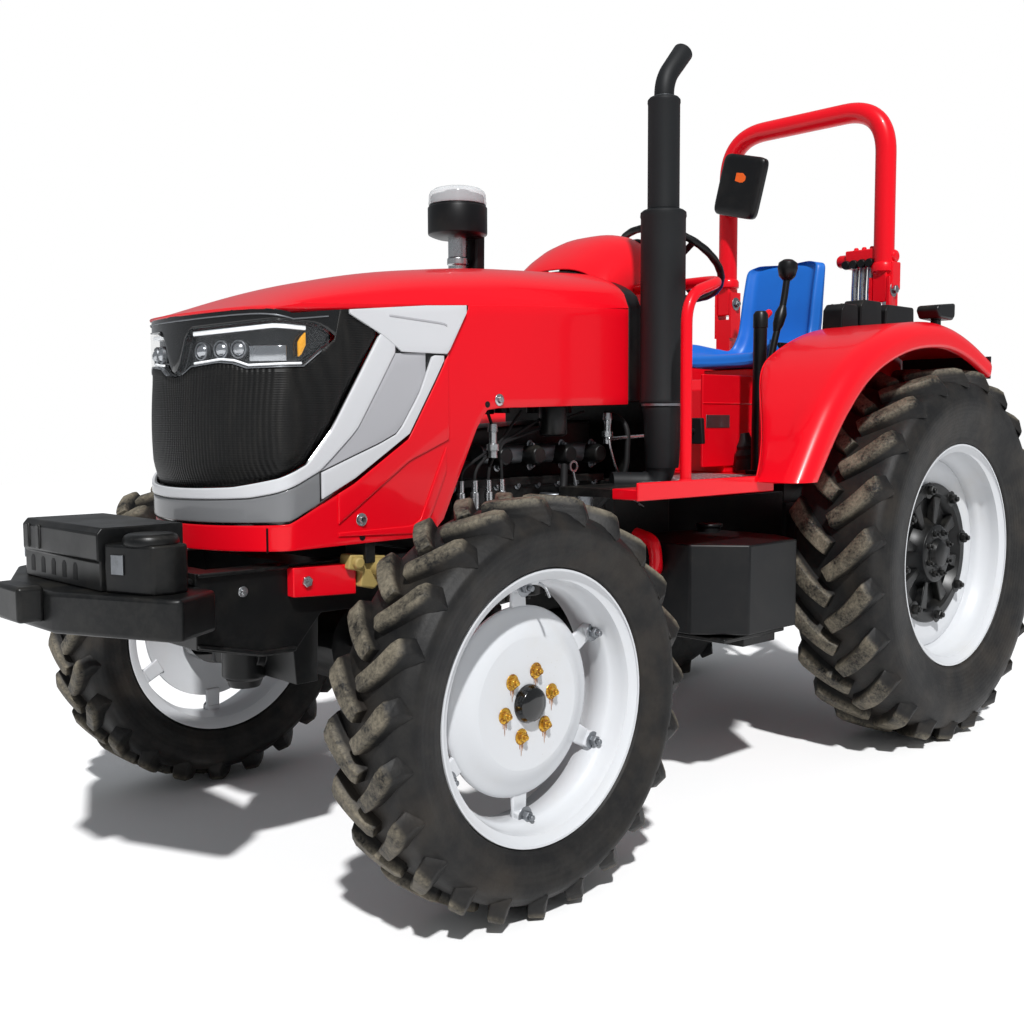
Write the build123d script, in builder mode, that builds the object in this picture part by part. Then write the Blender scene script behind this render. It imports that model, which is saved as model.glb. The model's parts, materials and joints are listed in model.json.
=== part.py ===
"""Open-station four-wheel-drive farm tractor, built up from its separate pieces.

Frame: millimetres, +X forward, +Y to the tractor's left, +Z up, origin on the ground under the
middle of the whole machine. Points in outlines are (x, z) in side view or (x, y) in plan.
"""
import os
from math import atan2, cos, hypot, radians, sin, tan

from build123d import *

os.makedirs("parts", exist_ok=True)

# ---- driving dimensions -------------------------------------------------------------------
FACETS = 24              # flats round a rim or a disc
TYRE_FACETS = 18         # flats round a tyre's tread
SEAT_GAP = 0.3           # between pieces that seat on each other
PIVOT_GAP = 0.5          # beside a pivot's boss
LUGS_PER_SIDE = 18

WHEELBASE = 2167.0
FRONT_AXLE_X = 1010.0
REAR_AXLE_X = FRONT_AXLE_X - WHEELBASE

FRONT_TYRE_R = 502.0
FRONT_TYRE_W = 250.0
FRONT_RIM_R = 330.0
FRONT_RIM_W = 191.0
FRONT_TRACK_Y = 745.0    # middle of a front tyre from the centreline
FRONT_LUG_H = 32.0

REAR_TYRE_R = 682.0
REAR_TYRE_W = 360.0
REAR_RIM_R = 406.0
REAR_RIM_W = 290.0
REAR_TRACK_Y = 667.0
REAR_LUG_H = 38.0

FLANGE_H = 27.0          # rim flange above the bead seat
FLANGE_RUN = 16.0        # width of the flange's slope
RIM_WALL = 6.0
LUG_SLANT = 45.0         # of a lug from the axle's direction, degrees

KINGPIN_Y = 590.0
STEER_ARM_BACK = 230.0   # ball joint behind the kingpin
STEER_ARM_IN = 0.0       # ball joint inboard of the kingpin; arms are parallel

HOOD_REAR_X = 170.0
HOOD_CORNER_X = 1385.0   # where the flanks meet the curved nose
NOSE_X = 1503.0
HOOD_REAR_Y = 364.0      # half width at the rear edge
HOOD_CORNER_Y = 322.0
HOOD_SKIN = 8.0
CROWN_FLATS = 12         # flats across the hood's arch
NOSE_CORNER_R = 60.0
# seam between the lifting top and the flanks: x, z at the seam, z of the crown
SEAM = [
    (HOOD_REAR_X, 1521.0, 1656.0),
    (625.0, 1505.0, 1634.0),
    (960.0, 1483.0, 1593.0),
    (1242.0, 1454.0, 1532.0),
    (1520.0, 1420.0, 1432.0),
]

ROLLBAR_X = -1370.0
ROLLBAR_Y = 375.0
ROLLBAR_TOP = 2450.0
ROLLBAR_TUBE_R = 40.0
ROLLBAR_PIVOT_Z = 1690.0
ROLLBAR_BEND = 150.0

FLOOR_TOP = 985.0
FLOOR_Y = 655.0          # outer edge of the platform
FENDER_IN_Y = 450.0
FENDER_OUT_Y = 815.0
FENDER_SKIN = 6.0

MUFFLER_X = 110.0
MUFFLER_Y = 450.0
INTAKE_X = 190.0
INTAKE_Y = -410.0

CLUTCH_X = 110.0         # joint face between engine and gearbox
ENGINE_FRONT_X = 760.0
ENGINE_HALF_W = 240.0
GEARBOX_HALF_W = 190.0
CLUTCH_HALF_W = 235.0
CLUTCH_TOP_Z = 945.0
DRIVE_Z = 510.0          # height of the front drive shaft

REAR_HALF_SHAFT_R = 95.0
HITCH_PIVOT = (-1290.0, 440.0)
HITCH_EYE = (-1904.0, 500.0)
LIFT_SHAFT = (-1290.0, 930.0)
LINK_Y_FRONT = 215.0
LINK_Y_REAR = 330.0


# ---- ways of making forms -------------------------------------------------------------------
def keep(piece, name):
    """Label a finished piece and write its file."""
    piece.label = name
    export_step(piece, f"parts/{name}.step")


def plate(outline, y_low, y_high):
    """A flat piece cut to a side-view outline, between two places across the tractor."""
    with BuildPart() as piece:
        with BuildSketch(Plane.XZ.offset(-y_high)):
            with BuildLine():
                Polyline(*outline, close=True)
            make_face()
        extrude(amount=y_high - y_low)
    return piece.part


def slab(outline, z_low, z_high):
    """A piece cut to a plan outline, between two heights."""
    with BuildPart() as piece:
        with BuildSketch(Plane.XY.offset(z_low)):
            with BuildLine():
                Polyline(*outline, close=True)
            make_face()
        extrude(amount=z_high - z_low)
    return piece.part


def block(low, high, cut=0.0):
    """A block between two corners, its upright edges chamfered by cut."""
    size = [b - a for a, b in zip(low, high)]
    with BuildPart() as piece:
        with Locations(tuple((a + b) / 2 for a, b in zip(low, high))):
            Box(*size)
        if cut:
            chamfer(piece.edges().filter_by(Axis.Z), cut)
    return piece.part


def drum(start, end, radius, end_radius=None):
    """A round bar, or a cone, from one point to another."""
    axis = Vector(*end) - Vector(*start)
    with BuildPart() as piece:
        with Locations(Plane(origin=start, z_dir=axis)):
            if end_radius is None:
                Cylinder(radius, axis.length, align=(Align.CENTER, Align.CENTER, Align.MIN))
            else:
                Cone(radius, end_radius, axis.length, align=(Align.CENTER, Align.CENTER, Align.MIN))
    return piece.part


def eased(points, bend):
    """The route with each inner corner taken off at a distance of bend."""
    route = [Vector(*points[0])]
    for before, corner, after in zip(points, points[1:], points[2:]):
        corner = Vector(*corner)
        route.append(corner + (Vector(*before) - corner).normalized() * bend)
        route.append(corner + (Vector(*after) - corner).normalized() * bend)
    return route + [Vector(*points[-1])]


def tube(points, radius, bend=0.0, sides=12):
    """A bar of many flats along a route, its corners eased twice for a bend."""
    route = [Vector(*p) for p in points]
    if bend:
        route = eased(eased(route, bend), bend * tan(radians(22.5)) * 0.6)
    with BuildPart() as piece:
        with BuildLine():
            path = Polyline(*route)
        with BuildSketch(Plane(origin=path @ 0, z_dir=path % 0)):
            RegularPolygon(radius, sides)
        sweep(path=path, transition=Transition.RIGHT)
    return piece.part


def faceted(sections):
    """A solid of flat faces through closed sections that have equally many points."""
    faces = [Face(Wire.make_polygon(sections[0])), Face(Wire.make_polygon(sections[-1]))]
    for low, high in zip(sections, sections[1:]):
        for i, near in enumerate(low):
            j = (i + 1) % len(low)
            twist = (low[j] - near).cross(high[i] - near).dot(high[j] - near)
            if abs(twist) < 1:
                faces.append(Face(Wire.make_polygon([near, low[j], high[j], high[i]])))
            else:
                faces.append(Face(Wire.make_polygon([near, low[j], high[j]])))
                faces.append(Face(Wire.make_polygon([near, high[j], high[i]])))
    return Solid(Shell(faces))


def polygon(centre, axis, radius, sides):
    """Corners of a regular polygon across an axis."""
    plane = Plane(origin=centre, z_dir=axis)
    turns = [radians(360 * (i + 0.5) / sides) for i in range(sides)]
    return [plane.from_local_coords(Vector(radius * cos(a), radius * sin(a), 0)) for a in turns]


def facet_solid(rows, sides=FACETS):
    """A wheel-like solid of flats about the Y axis through (offset across, radius) rows."""
    return faceted([polygon((0, offset_y, 0), (0, 1, 0), radius, sides) for offset_y, radius in rows])


def bar(start, end, radius, end_radius=None, sides=14):
    """A bar or cone in flats from one point to another, for what nothing turns on."""
    start, end = Vector(*start), Vector(*end)
    return faceted([polygon(start, end - start, radius, sides),
                    polygon(end, end - start, end_radius or radius, sides)])


def mirrored(piece):
    """The same piece for the other side of the tractor."""
    return mirror(piece, about=Plane.XZ)


# ---- wheels -----------------------------------------------------------------------------------
def lug(tyre_r, tyre_w, lug_h):
    """One tread lug at the top of a tyre centred on the origin, from the middle to +Y."""
    carcass = tyre_r - lug_h
    width = tyre_w * 0.13
    run = (tyre_w - width * sin(radians(LUG_SLANT))) / 2
    length = run / cos(radians(LUG_SLANT))
    reach = length / 2 * sin(radians(LUG_SLANT)) + width / 2 * cos(radians(LUG_SLANT))
    crest = (tyre_r ** 2 - reach ** 2) ** 0.5
    direction = (-sin(radians(LUG_SLANT)), cos(radians(LUG_SLANT)), 0)
    start = (-direction[0] * length / 2, 0, 0)
    profile = [
        (-0.04 * length, carcass - 14),
        (-0.04 * length, crest),
        (0.86 * length, crest),
        (0.98 * length, carcass - 44),
    ]
    with BuildPart() as piece:
        side = Vector(*direction).cross(Vector(0, 0, 1))
        with BuildSketch(Plane(origin=start, x_dir=direction, z_dir=side)):
            with BuildLine():
                Polyline(*profile, close=True)
            make_face()
        extrude(amount=width / 2, both=True)
    return piece.part


def tyre(tyre_r, tyre_w, rim_r, rim_w, lug_h):
    """A tyre centred on the origin: faceted carcass, hollow for the rim, with its two rows of lugs."""
    carcass = tyre_r - lug_h
    half = tyre_w / 2
    bead = rim_w / 2 - FLANGE_RUN - SEAT_GAP
    seat = (rim_r - FLANGE_H + SEAT_GAP) / cos(radians(180 / FACETS))
    with BuildPart() as piece:
        add(facet_solid([(-half, carcass - 0.17 * half * 2), (-0.72 * half, carcass - 8),
                         (0.72 * half, carcass - 8), (half, carcass - 0.17 * half * 2)], TYRE_FACETS))
        add(facet_solid([(-half - 1, seat), (half + 1, seat)]), mode=Mode.SUBTRACT)
        for side in (-1, 1):
            dish = [(side * bead, seat), (side * (half + 1), rim_r + 0.42 * (carcass - rim_r))]
            add(facet_solid(sorted(dish)), mode=Mode.SUBTRACT)
        one = lug(tyre_r, tyre_w, lug_h)
        other = mirror(one, about=Plane.XZ)
        pitch = 360 / LUGS_PER_SIDE
        lugs = [one.rotate(Axis.Y, pitch * i) for i in range(LUGS_PER_SIDE)]
        lugs += [other.rotate(Axis.Y, pitch * (i + 0.5)) for i in range(LUGS_PER_SIDE)]
        add(lugs)
    # a lug's corner stands exactly on the ground
    return piece.part.rotate(Axis.Y, LUG_SLANT / 2)


def rim(rim_r, rim_w):
    """A rim centred on the origin: flanged barrel with a drop centre outside, smooth inside."""
    half = rim_w / 2
    seat = rim_r - FLANGE_H
    barrel = [(-half, rim_r), (FLANGE_RUN - half, seat), (half - FLANGE_RUN, seat), (half, rim_r)]
    hollow = [(-half - 1, rim_r - RIM_WALL), (FLANGE_RUN - half, seat - RIM_WALL),
              (half - FLANGE_RUN, seat - RIM_WALL), (half + 1, rim_r - RIM_WALL)]
    with BuildPart() as piece:
        add(facet_solid(barrel))
        add(facet_solid(hollow), mode=Mode.SUBTRACT)
    return piece.part


def wheel_disc(rows, hub_r, rim_r):
    """A dished disc centred on the origin through (offset, radius) rows, its eye cut at hub_r."""
    with BuildPart() as piece:
        add(facet_solid(rows))
        with Locations(Plane(origin=(0, 0, 0), z_dir=(0, 1, 0))):
            Cylinder(hub_r, 4 * rim_r, mode=Mode.SUBTRACT)
    return piece.part


FRONT_SEAT_R = FRONT_RIM_R - FLANGE_H - RIM_WALL      # inside of the front rim's barrel
REAR_SEAT_R = REAR_RIM_R - FLANGE_H - RIM_WALL
FRONT_DISC_R = 232.0
FRONT_HUB_R = 62.0
REAR_DISC_Y = 30.0       # disc's place outboard of the rear rim's middle
REAR_CENTRE_R = 190.0
EAR_COUNT = 6

with BuildPart() as front_rim:
    add(rim(FRONT_RIM_R, FRONT_RIM_W))
    add(wheel_disc([(-14, FRONT_DISC_R), (-2, FRONT_DISC_R), (26, FRONT_DISC_R - 62)], FRONT_HUB_R,
                   FRONT_RIM_R))
    for i in range(EAR_COUNT):
        add(block((FRONT_DISC_R - 14, -16, -24), (FRONT_SEAT_R + 3, -2, 24))
            .rotate(Axis.Y, (i + 0.5) * 360 / EAR_COUNT))

with BuildPart() as rear_rim:
    add(rim(REAR_RIM_R, REAR_RIM_W))
    add(wheel_disc([(REAR_DISC_Y - 12, REAR_SEAT_R + 2), (REAR_DISC_Y, REAR_SEAT_R + 2)],
                   REAR_CENTRE_R + SEAT_GAP, REAR_RIM_R))

with BuildPart() as rear_centre:
    with Locations(Plane(origin=(0, REAR_DISC_Y - 26, 0), z_dir=(0, 1, 0))):
        Cylinder(REAR_CENTRE_R, 26, align=(Align.CENTER, Align.CENTER, Align.MIN))
    add(bar((0, REAR_DISC_Y, 0), (0, REAR_DISC_Y + 26, 0), 96, sides=FACETS))
    for i in range(8):
        x, z = [145 * f(radians(45 * i)) for f in (cos, sin)]
        add(bar((x, REAR_DISC_Y - 2, z), (x, REAR_DISC_Y + 18, z), 16, sides=6))

with BuildPart() as front_hub:
    with Locations(Plane(origin=(0, -60, 0), z_dir=(0, 1, 0))):
        Cylinder(FRONT_HUB_R - SEAT_GAP, 90, align=(Align.CENTER, Align.CENTER, Align.MIN))
    add(bar((0, -60, 0), (0, -16, 0), 120, sides=FACETS))

front_tyre = tyre(FRONT_TYRE_R, FRONT_TYRE_W, FRONT_RIM_R, FRONT_RIM_W, FRONT_LUG_H)
rear_tyre = tyre(REAR_TYRE_R, REAR_TYRE_W, REAR_RIM_R, REAR_RIM_W, REAR_LUG_H)
front_place = Location((FRONT_AXLE_X, FRONT_TRACK_Y, FRONT_TYRE_R))
rear_place = Location((REAR_AXLE_X, REAR_TRACK_Y, REAR_TYRE_R))

wheel_pieces = [
    ("tyre_front", front_tyre, front_place),
    ("rim_front", front_rim.part, front_place),
    ("hub_front", front_hub.part, front_place),
    ("tyre_rear", rear_tyre, rear_place),
    ("rim_rear", rear_rim.part, rear_place),
    ("wheel_centre_rear", rear_centre.part, rear_place),
]
for name, piece, place in wheel_pieces:
    left = piece.moved(place)
    keep(left, f"{name}_left")
    keep(mirrored(left), f"{name}_right")

# ---- front axle, knuckles, tie rod --------------------------------------------------------------
AXLE_TOP_Z = 640.0       # top of the knuckle, where the beam's end sits
BEAM_MID_Z = 580.0
BEARER_X = FRONT_AXLE_X + 190            # rear face of the cross bearer ahead of the axle
DIFF_R = 118.0
BEAM_END_Y = KINGPIN_Y - 82

with BuildPart() as front_axle:
    add(bar((FRONT_AXLE_X, -50, BEAM_MID_Z - 20), (FRONT_AXLE_X, 130, BEAM_MID_Z - 20), DIFF_R, sides=18))
    for side in (-1, 1):
        with BuildSketch(Plane(origin=(FRONT_AXLE_X, 0, BEAM_MID_Z), x_dir=(1, 0, 0), z_dir=(0, side, 0))):
            Rectangle(120, 100)
        with BuildSketch(Plane(origin=(FRONT_AXLE_X, side * BEAM_END_Y, AXLE_TOP_Z + 38 + PIVOT_GAP),
                               x_dir=(1, 0, 0), z_dir=(0, side, 0))):
            Rectangle(100, 70)
        loft(ruled=True)
        with Locations((FRONT_AXLE_X, side * (BEAM_END_Y + 30), AXLE_TOP_Z + 38 + PIVOT_GAP)):
            Box(100, 64, 70)
        add(bar((FRONT_AXLE_X, side * KINGPIN_Y, AXLE_TOP_Z + PIVOT_GAP),
                (FRONT_AXLE_X, side * KINGPIN_Y, AXLE_TOP_Z + PIVOT_GAP + 76), 62))
    add(bar((FRONT_AXLE_X, 0, DRIVE_Z), (FRONT_AXLE_X - 250, 0, DRIVE_Z), 62, 46))
    add(bar((FRONT_AXLE_X - 240, 0, DRIVE_Z), (CLUTCH_X + SEAT_GAP, 0, DRIVE_Z), 32))
    add(bar((FRONT_AXLE_X + 60, 0, BEAM_MID_Z), (BEARER_X, 0, BEAM_MID_Z), 52))
keep(front_axle.part, "front_axle")

HUB_BACK_Y = FRONT_TRACK_Y - 60 - SEAT_GAP
BALL_X = FRONT_AXLE_X - STEER_ARM_BACK
BALL_Y = KINGPIN_Y - STEER_ARM_IN
BALL_Z = 420.0
ROD_R = 14.0

with BuildPart() as knuckle:
    with Locations((FRONT_AXLE_X, KINGPIN_Y, AXLE_TOP_Z)):
        Cylinder(70, AXLE_TOP_Z - 410, align=(Align.CENTER, Align.CENTER, Align.MAX))
    add(bar((FRONT_AXLE_X, KINGPIN_Y, FRONT_TYRE_R), (FRONT_AXLE_X, HUB_BACK_Y, FRONT_TYRE_R), 88, sides=18))
    arm = [(FRONT_AXLE_X - 40, KINGPIN_Y - 34), (FRONT_AXLE_X - 40, KINGPIN_Y + 34),
           (BALL_X - 18, BALL_Y + 20), (BALL_X - 18, BALL_Y - 20)]
    add(slab(arm, BALL_Z + ROD_R + 4, BALL_Z + ROD_R + 30))
    add(drum((BALL_X, BALL_Y, BALL_Z), (BALL_X, BALL_Y, BALL_Z + ROD_R + 8), 9))
keep(knuckle.part, "knuckle_left")
keep(mirrored(knuckle.part), "knuckle_right")

with BuildPart() as tie_rod:
    add(tube([(BALL_X, BALL_Y - 24, BALL_Z), (BALL_X, 24 - BALL_Y, BALL_Z)], ROD_R, sides=10))
    for side in (-1, 1):
        with Locations((BALL_X, side * BALL_Y, BALL_Z)):
            Cylinder(26, 2 * ROD_R)
            Cylinder(9 + SEAT_GAP, 2 * ROD_R, mode=Mode.SUBTRACT)
keep(tie_rod.part, "tie_rod")

def flank_y(x):
    """Half width of the hood at a place along it."""
    share = (x - HOOD_REAR_X) / (HOOD_CORNER_X - HOOD_REAR_X)
    return HOOD_REAR_Y + (HOOD_CORNER_Y - HOOD_REAR_Y) * share


# ---- front frame, weights, driveline ---------------------------------------------------------------
RAIL_LOW, RAIL_HIGH = 690.0, 822.0
RAIL_OUT_Y, RAIL_IN_Y = 262.0, 205.0
with BuildPart() as front_frame:
    rail = [(ENGINE_FRONT_X, RAIL_HIGH), (1600, RAIL_HIGH), (1600, 640), (1420, 600), (1330, 600),
            (1250, RAIL_LOW), (ENGINE_FRONT_X, RAIL_LOW)]
    for side in (-1, 1):
        low, high = sorted((side * RAIL_IN_Y, side * RAIL_OUT_Y))
        add(plate(rail, low, high))
    add(block((1540, -RAIL_IN_Y, 640), (1600, RAIL_IN_Y, RAIL_HIGH)))
    add(block((ENGINE_FRONT_X, -RAIL_IN_Y, RAIL_LOW), (ENGINE_FRONT_X + 60, RAIL_IN_Y, RAIL_HIGH)))
    add(plate([(BEARER_X + 15, RAIL_HIGH), (BEARER_X + 120, RAIL_HIGH), (BEARER_X + 90, 500),
               (BEARER_X + 25, 500)], -RAIL_IN_Y, RAIL_IN_Y))
    add(bar((BEARER_X + SEAT_GAP, 0, BEAM_MID_Z), (BEARER_X + 120, 0, BEAM_MID_Z), 78))
    for side in (-1, 1):
        low, high = sorted((side * (RAIL_OUT_Y - 30), side * (flank_y(1150) - HOOD_SKIN - SEAT_GAP)))
        add(block((1120, low, RAIL_HIGH - 10), (1150, high, 890)))
keep(front_frame.part, "front_frame")

TRAY_TOP = 800.0
with BuildPart() as front_weights:
    back = 1600 + SEAT_GAP
    tray = [(back, 262), (1799, 262), (1874, 225), (1882, 90)]
    add(slab(tray + [(x, -y) for x, y in reversed(tray)], 695, TRAY_TOP))
    add(block((back, -215, TRAY_TOP), (1810, 215, 940), 12))
    for side in (-1, 1):
        add(block((1697, side * 207 - 19, TRAY_TOP), (1817, side * 207 + 19, 925), 12))
    add(block((1870, -62, 742), (1940, 62, 822), 8))
    for y in (-168, -108, -46, 20, 104):
        add(block((1790, y - 13, 818), (1820, y + 13, 863)), mode=Mode.SUBTRACT)
    with Locations((1910, 0, 782)):
        Cylinder(16, 200, mode=Mode.SUBTRACT)
keep(front_weights.part, "front_weights")

with BuildPart() as side_plates:
    for side in (-1, 1):
        low, high = sorted((side * (RAIL_OUT_Y + SEAT_GAP), side * (RAIL_OUT_Y + 30)))
        add(plate([(1160, 812), (1350, 816), (1350, 742), (1160, 732)], low, high))
keep(side_plates.part, "side_plates")

ENGINE_SUMP_Z = 590.0
MANIFOLD_Y = 228.0
MANIFOLD_Z = 1080.0
with BuildPart() as engine:
    back, front = CLUTCH_X + SEAT_GAP, ENGINE_FRONT_X - SEAT_GAP
    add(plate([(back, ENGINE_SUMP_Z + 60), (front, ENGINE_SUMP_Z), (front, 930), (front - 60, 1150),
               (back, 1180)], -150, 150))
    add(block((back, -ENGINE_HALF_W, 700), (front - 40, ENGINE_HALF_W, 1000), 30))
    add(block((860, -280, RAIL_HIGH + SEAT_GAP), (930, 280, 1330)))
keep(engine.part, "engine")

with BuildPart() as engine_accessories:
    for x in (230, 370, 510, 650):
        add(bar((x, 150 + SEAT_GAP, MANIFOLD_Z), (x, MANIFOLD_Y, MANIFOLD_Z), 24))
    add(bar((200, MANIFOLD_Y, MANIFOLD_Z), (680, MANIFOLD_Y, MANIFOLD_Z), 30))
    for x, z_low, z_high, radius in ((300, 800, 950, 40), (420, 790, 960, 44), (540, 810, 940, 36)):
        add(bar((x, ENGINE_HALF_W + radius + SEAT_GAP, z_low),
                 (x, ENGINE_HALF_W + radius + SEAT_GAP, z_high), radius))
keep(engine_accessories.part, "engine_accessories")

with BuildPart() as gearbox:
    add(plate([(CLUTCH_X, 500), (CLUTCH_X, 940), (-500, 900), (-960, 900), (-960, 480), (-500, 440),
               (-250, 460)], -GEARBOX_HALF_W, GEARBOX_HALF_W))
    add(block((-220, -CLUTCH_HALF_W, 470), (CLUTCH_X, CLUTCH_HALF_W, CLUTCH_TOP_Z), 24))
keep(gearbox.part, "gearbox")

with BuildPart() as rear_axle:
    add(block((-1330, -180, 500), (-960 - SEAT_GAP, 180, 850), 40))
    with Locations(Plane(origin=(REAR_AXLE_X, 0, REAR_TYRE_R), z_dir=(0, 1, 0))):
        Cylinder(REAR_HALF_SHAFT_R, 2 * (REAR_TRACK_Y + REAR_DISC_Y - 26 - SEAT_GAP))
    add(bar((REAR_AXLE_X, -330, REAR_TYRE_R), (REAR_AXLE_X, 330, REAR_TYRE_R), 150, sides=18))
    add(block((LIFT_SHAFT[0] - 60, -130, 840), (LIFT_SHAFT[0] + 250, 130, 1000), 20))
    with Locations(Plane(origin=(LIFT_SHAFT[0], 0, LIFT_SHAFT[1]), z_dir=(0, 1, 0))):
        Cylinder(40, 2 * 180)
    for side in (-1, 1):
        low, high = sorted((side * 150, side * 180))
        x, z = HITCH_PIVOT
        add(plate([(x - 40, 520), (x - 40, z - 40), (x + 40, z - 40), (x + 90, 520)], low, high))
        add(drum((x, side * 160, z), (x, side * (LINK_Y_FRONT + 22), z), 14))
keep(rear_axle.part, "rear_axle")

# ---- hood and nose ----------------------------------------------------------------------------------
def seam_z(x):
    """Height of the seam between the lifting top and the flanks."""
    for (x0, z0, _), (x1, z1, _) in zip(SEAM, SEAM[1:]):
        if x <= x1:
            return z0 + (z1 - z0) * (x - x0) / (x1 - x0)
    return SEAM[-1][1]


def hood_plan(inset):
    """A plan face of the hood's outside, moved in by inset."""
    with BuildSketch() as face:
        with BuildLine():
            side_in = inset
            rear = (HOOD_REAR_X - 30, flank_y(HOOD_REAR_X - 30) - side_in)
            corner = (HOOD_CORNER_X - inset * 0.5, HOOD_CORNER_Y - side_in)
            tip = (NOSE_X - inset, 0)
            Line(rear, corner)
            ThreePointArc(corner, tip, (corner[0], -corner[1]))
            Line((corner[0], -corner[1]), (rear[0], -rear[1]))
            Line((rear[0], -rear[1]), rear)
        make_face()
        fillet(face.vertices().sort_by(Axis.X)[-2:], NOSE_CORNER_R - inset)
    return face.sketch


def skin(outline, proud=0.0, wall=HOOD_SKIN, windows=()):
    """The stretch of the hood's upright skin inside a side-view outline."""
    with BuildPart() as piece:
        with BuildSketch(Plane.XY.offset(800)):
            add(hood_plan(-proud))
            add(hood_plan(wall - proud), mode=Mode.SUBTRACT)
        extrude(amount=800)
        add(plate(outline, -600, 600), mode=Mode.INTERSECT)
        for window in windows:
            add(plate(window, -600, 600), mode=Mode.SUBTRACT)
    return piece.part


AHEAD = NOSE_X + 60      # past the nose, to close outlines
LAMP_LOW = [(1250, 1366), (1300, 1306), (1385, 1290), (AHEAD, 1286)]
LAMP_HIGH = [(AHEAD, 1362), (1385, 1384), (1239, 1392)]
lamp_outline = LAMP_LOW + LAMP_HIGH
lamp_window = [(x - SEAT_GAP, z - SEAT_GAP) for x, z in LAMP_LOW]
lamp_window += [(x - SEAT_GAP, z + SEAT_GAP) for x, z in LAMP_HIGH]
MASK_EDGE = [(1106, 1400), (1257, 1156), (1397, 1040), (AHEAD, 1006)]
BAND_EDGE = [(806, 1489), (932, 1272), (1019, 1154), (1210, 1030), (1375, 934), (AHEAD, 924)]
LOWER_EDGE = [(979, 869), (1385, 868), (AHEAD, 872)]


def drop(points, amount):
    """The same outline points, lowered by amount."""
    return [(x, z - amount) for x, z in points]


def under_seam(x_rear, x_front):
    """Seam points from front to rear, just under the lifting top."""
    inner = [x for x, _, _ in SEAM if x_rear < x < x_front]
    return [(x, seam_z(x) - PIVOT_GAP) for x in [x_front] + inner[::-1] + [x_rear]]


keep(skin(MASK_EDGE + under_seam(1090, AHEAD), windows=[lamp_window]), "grille")
keep(skin(lamp_outline, wall=26.0), "headlamps")
keep(skin(BAND_EDGE + drop(MASK_EDGE[::-1], SEAT_GAP) + under_seam(806, 1090 - SEAT_GAP)),
     "grille_surround")
keep(skin(LOWER_EDGE + drop([BAND_EDGE[5], BAND_EDGE[4]], SEAT_GAP) + [(1210, 1030 - SEAT_GAP)]
          + [(1019, 1154 - SEAT_GAP), (930, 1272), (804, 1489)] + under_seam(HOOD_REAR_X, 803)
          + [(HOOD_REAR_X, 1228), (753, 1198), (902, 912)]), "hood_sides")

def crown(inset):
    """The space under the hood's arched top, its roof and flanks moved in by inset."""
    sections = []
    for x, z_seam, z_crown in SEAM:
        half, rise = flank_y(x) - inset, z_crown - inset - z_seam
        arch_r = (half ** 2 + rise ** 2) / (2 * rise)
        spread = atan2(half, arch_r - rise)
        turns = [spread * (1 - 2 * i / CROWN_FLATS) for i in range(CROWN_FLATS + 1)]
        arch = [Vector(x, arch_r * sin(a), z_seam + rise + arch_r * (cos(a) - 1)) for a in turns]
        sections.append([Vector(x, half, z_seam - inset)] + arch + [Vector(x, -half, z_seam - inset)])
    return faceted(sections)


with BuildPart() as hood_top:
    add(crown(0.01))
    add(crown(HOOD_SKIN), mode=Mode.SUBTRACT)
    with BuildSketch(Plane.XY.offset(1300)):
        add(hood_plan(0))
    extrude(amount=500, mode=Mode.INTERSECT)
keep(hood_top.part, "hood_top")


# ---- exhaust and air intake ---------------------------------------------------------------------------
with BuildPart() as muffler:
    add(bar((MUFFLER_X, MUFFLER_Y, 1218), (MUFFLER_X, MUFFLER_Y, 1815), 68.5, sides=28))
    add(bar((MUFFLER_X, MUFFLER_Y, 1815), (MUFFLER_X, MUFFLER_Y, 2150), 48.5, sides=28))
    add(tube([(MUFFLER_X, MUFFLER_Y, 2140), (MUFFLER_X, MUFFLER_Y, 2200),
              (MUFFLER_X - 90, MUFFLER_Y, 2300)], 30, 40))
    add(bar((MUFFLER_X, MUFFLER_Y, 1030), (MUFFLER_X, MUFFLER_Y, 1225), 52, 60, sides=28))
    add(bar((MUFFLER_X, MUFFLER_Y, MANIFOLD_Z), (230, MANIFOLD_Y + 80, MANIFOLD_Z), 40, 32))
    add(bar((230, MANIFOLD_Y + 84, MANIFOLD_Z), (230, MANIFOLD_Y + 30 + SEAT_GAP, MANIFOLD_Z), 32))
keep(muffler.part, "muffler")

with BuildPart() as pre_cleaner:
    add(bar((INTAKE_X, INTAKE_Y, 1820), (INTAKE_X, INTAKE_Y, 1960), 105, sides=28))
    add(bar((INTAKE_X, INTAKE_Y, 1960), (INTAKE_X, INTAKE_Y, 1995), 96, 80, sides=28))
    add(tube([(INTAKE_X, INTAKE_Y, 1822), (INTAKE_X, INTAKE_Y, 1130), (INTAKE_X, -150 - SEAT_GAP, 1130)],
             30, 60))
keep(pre_cleaner.part, "pre_cleaner")

# ---- cowl, steering column and wheel --------------------------------------------------------------------
COWL_HALF_W = 252.0
FIREWALL_X = 20.0
COWL = [(150.0, 1240.0, 1675.0), (60.0, 1240.0, 1752.0), (-30.0, 1240.0, 1800.0), (-90.0, 1240.0, 1806.0)]

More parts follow.
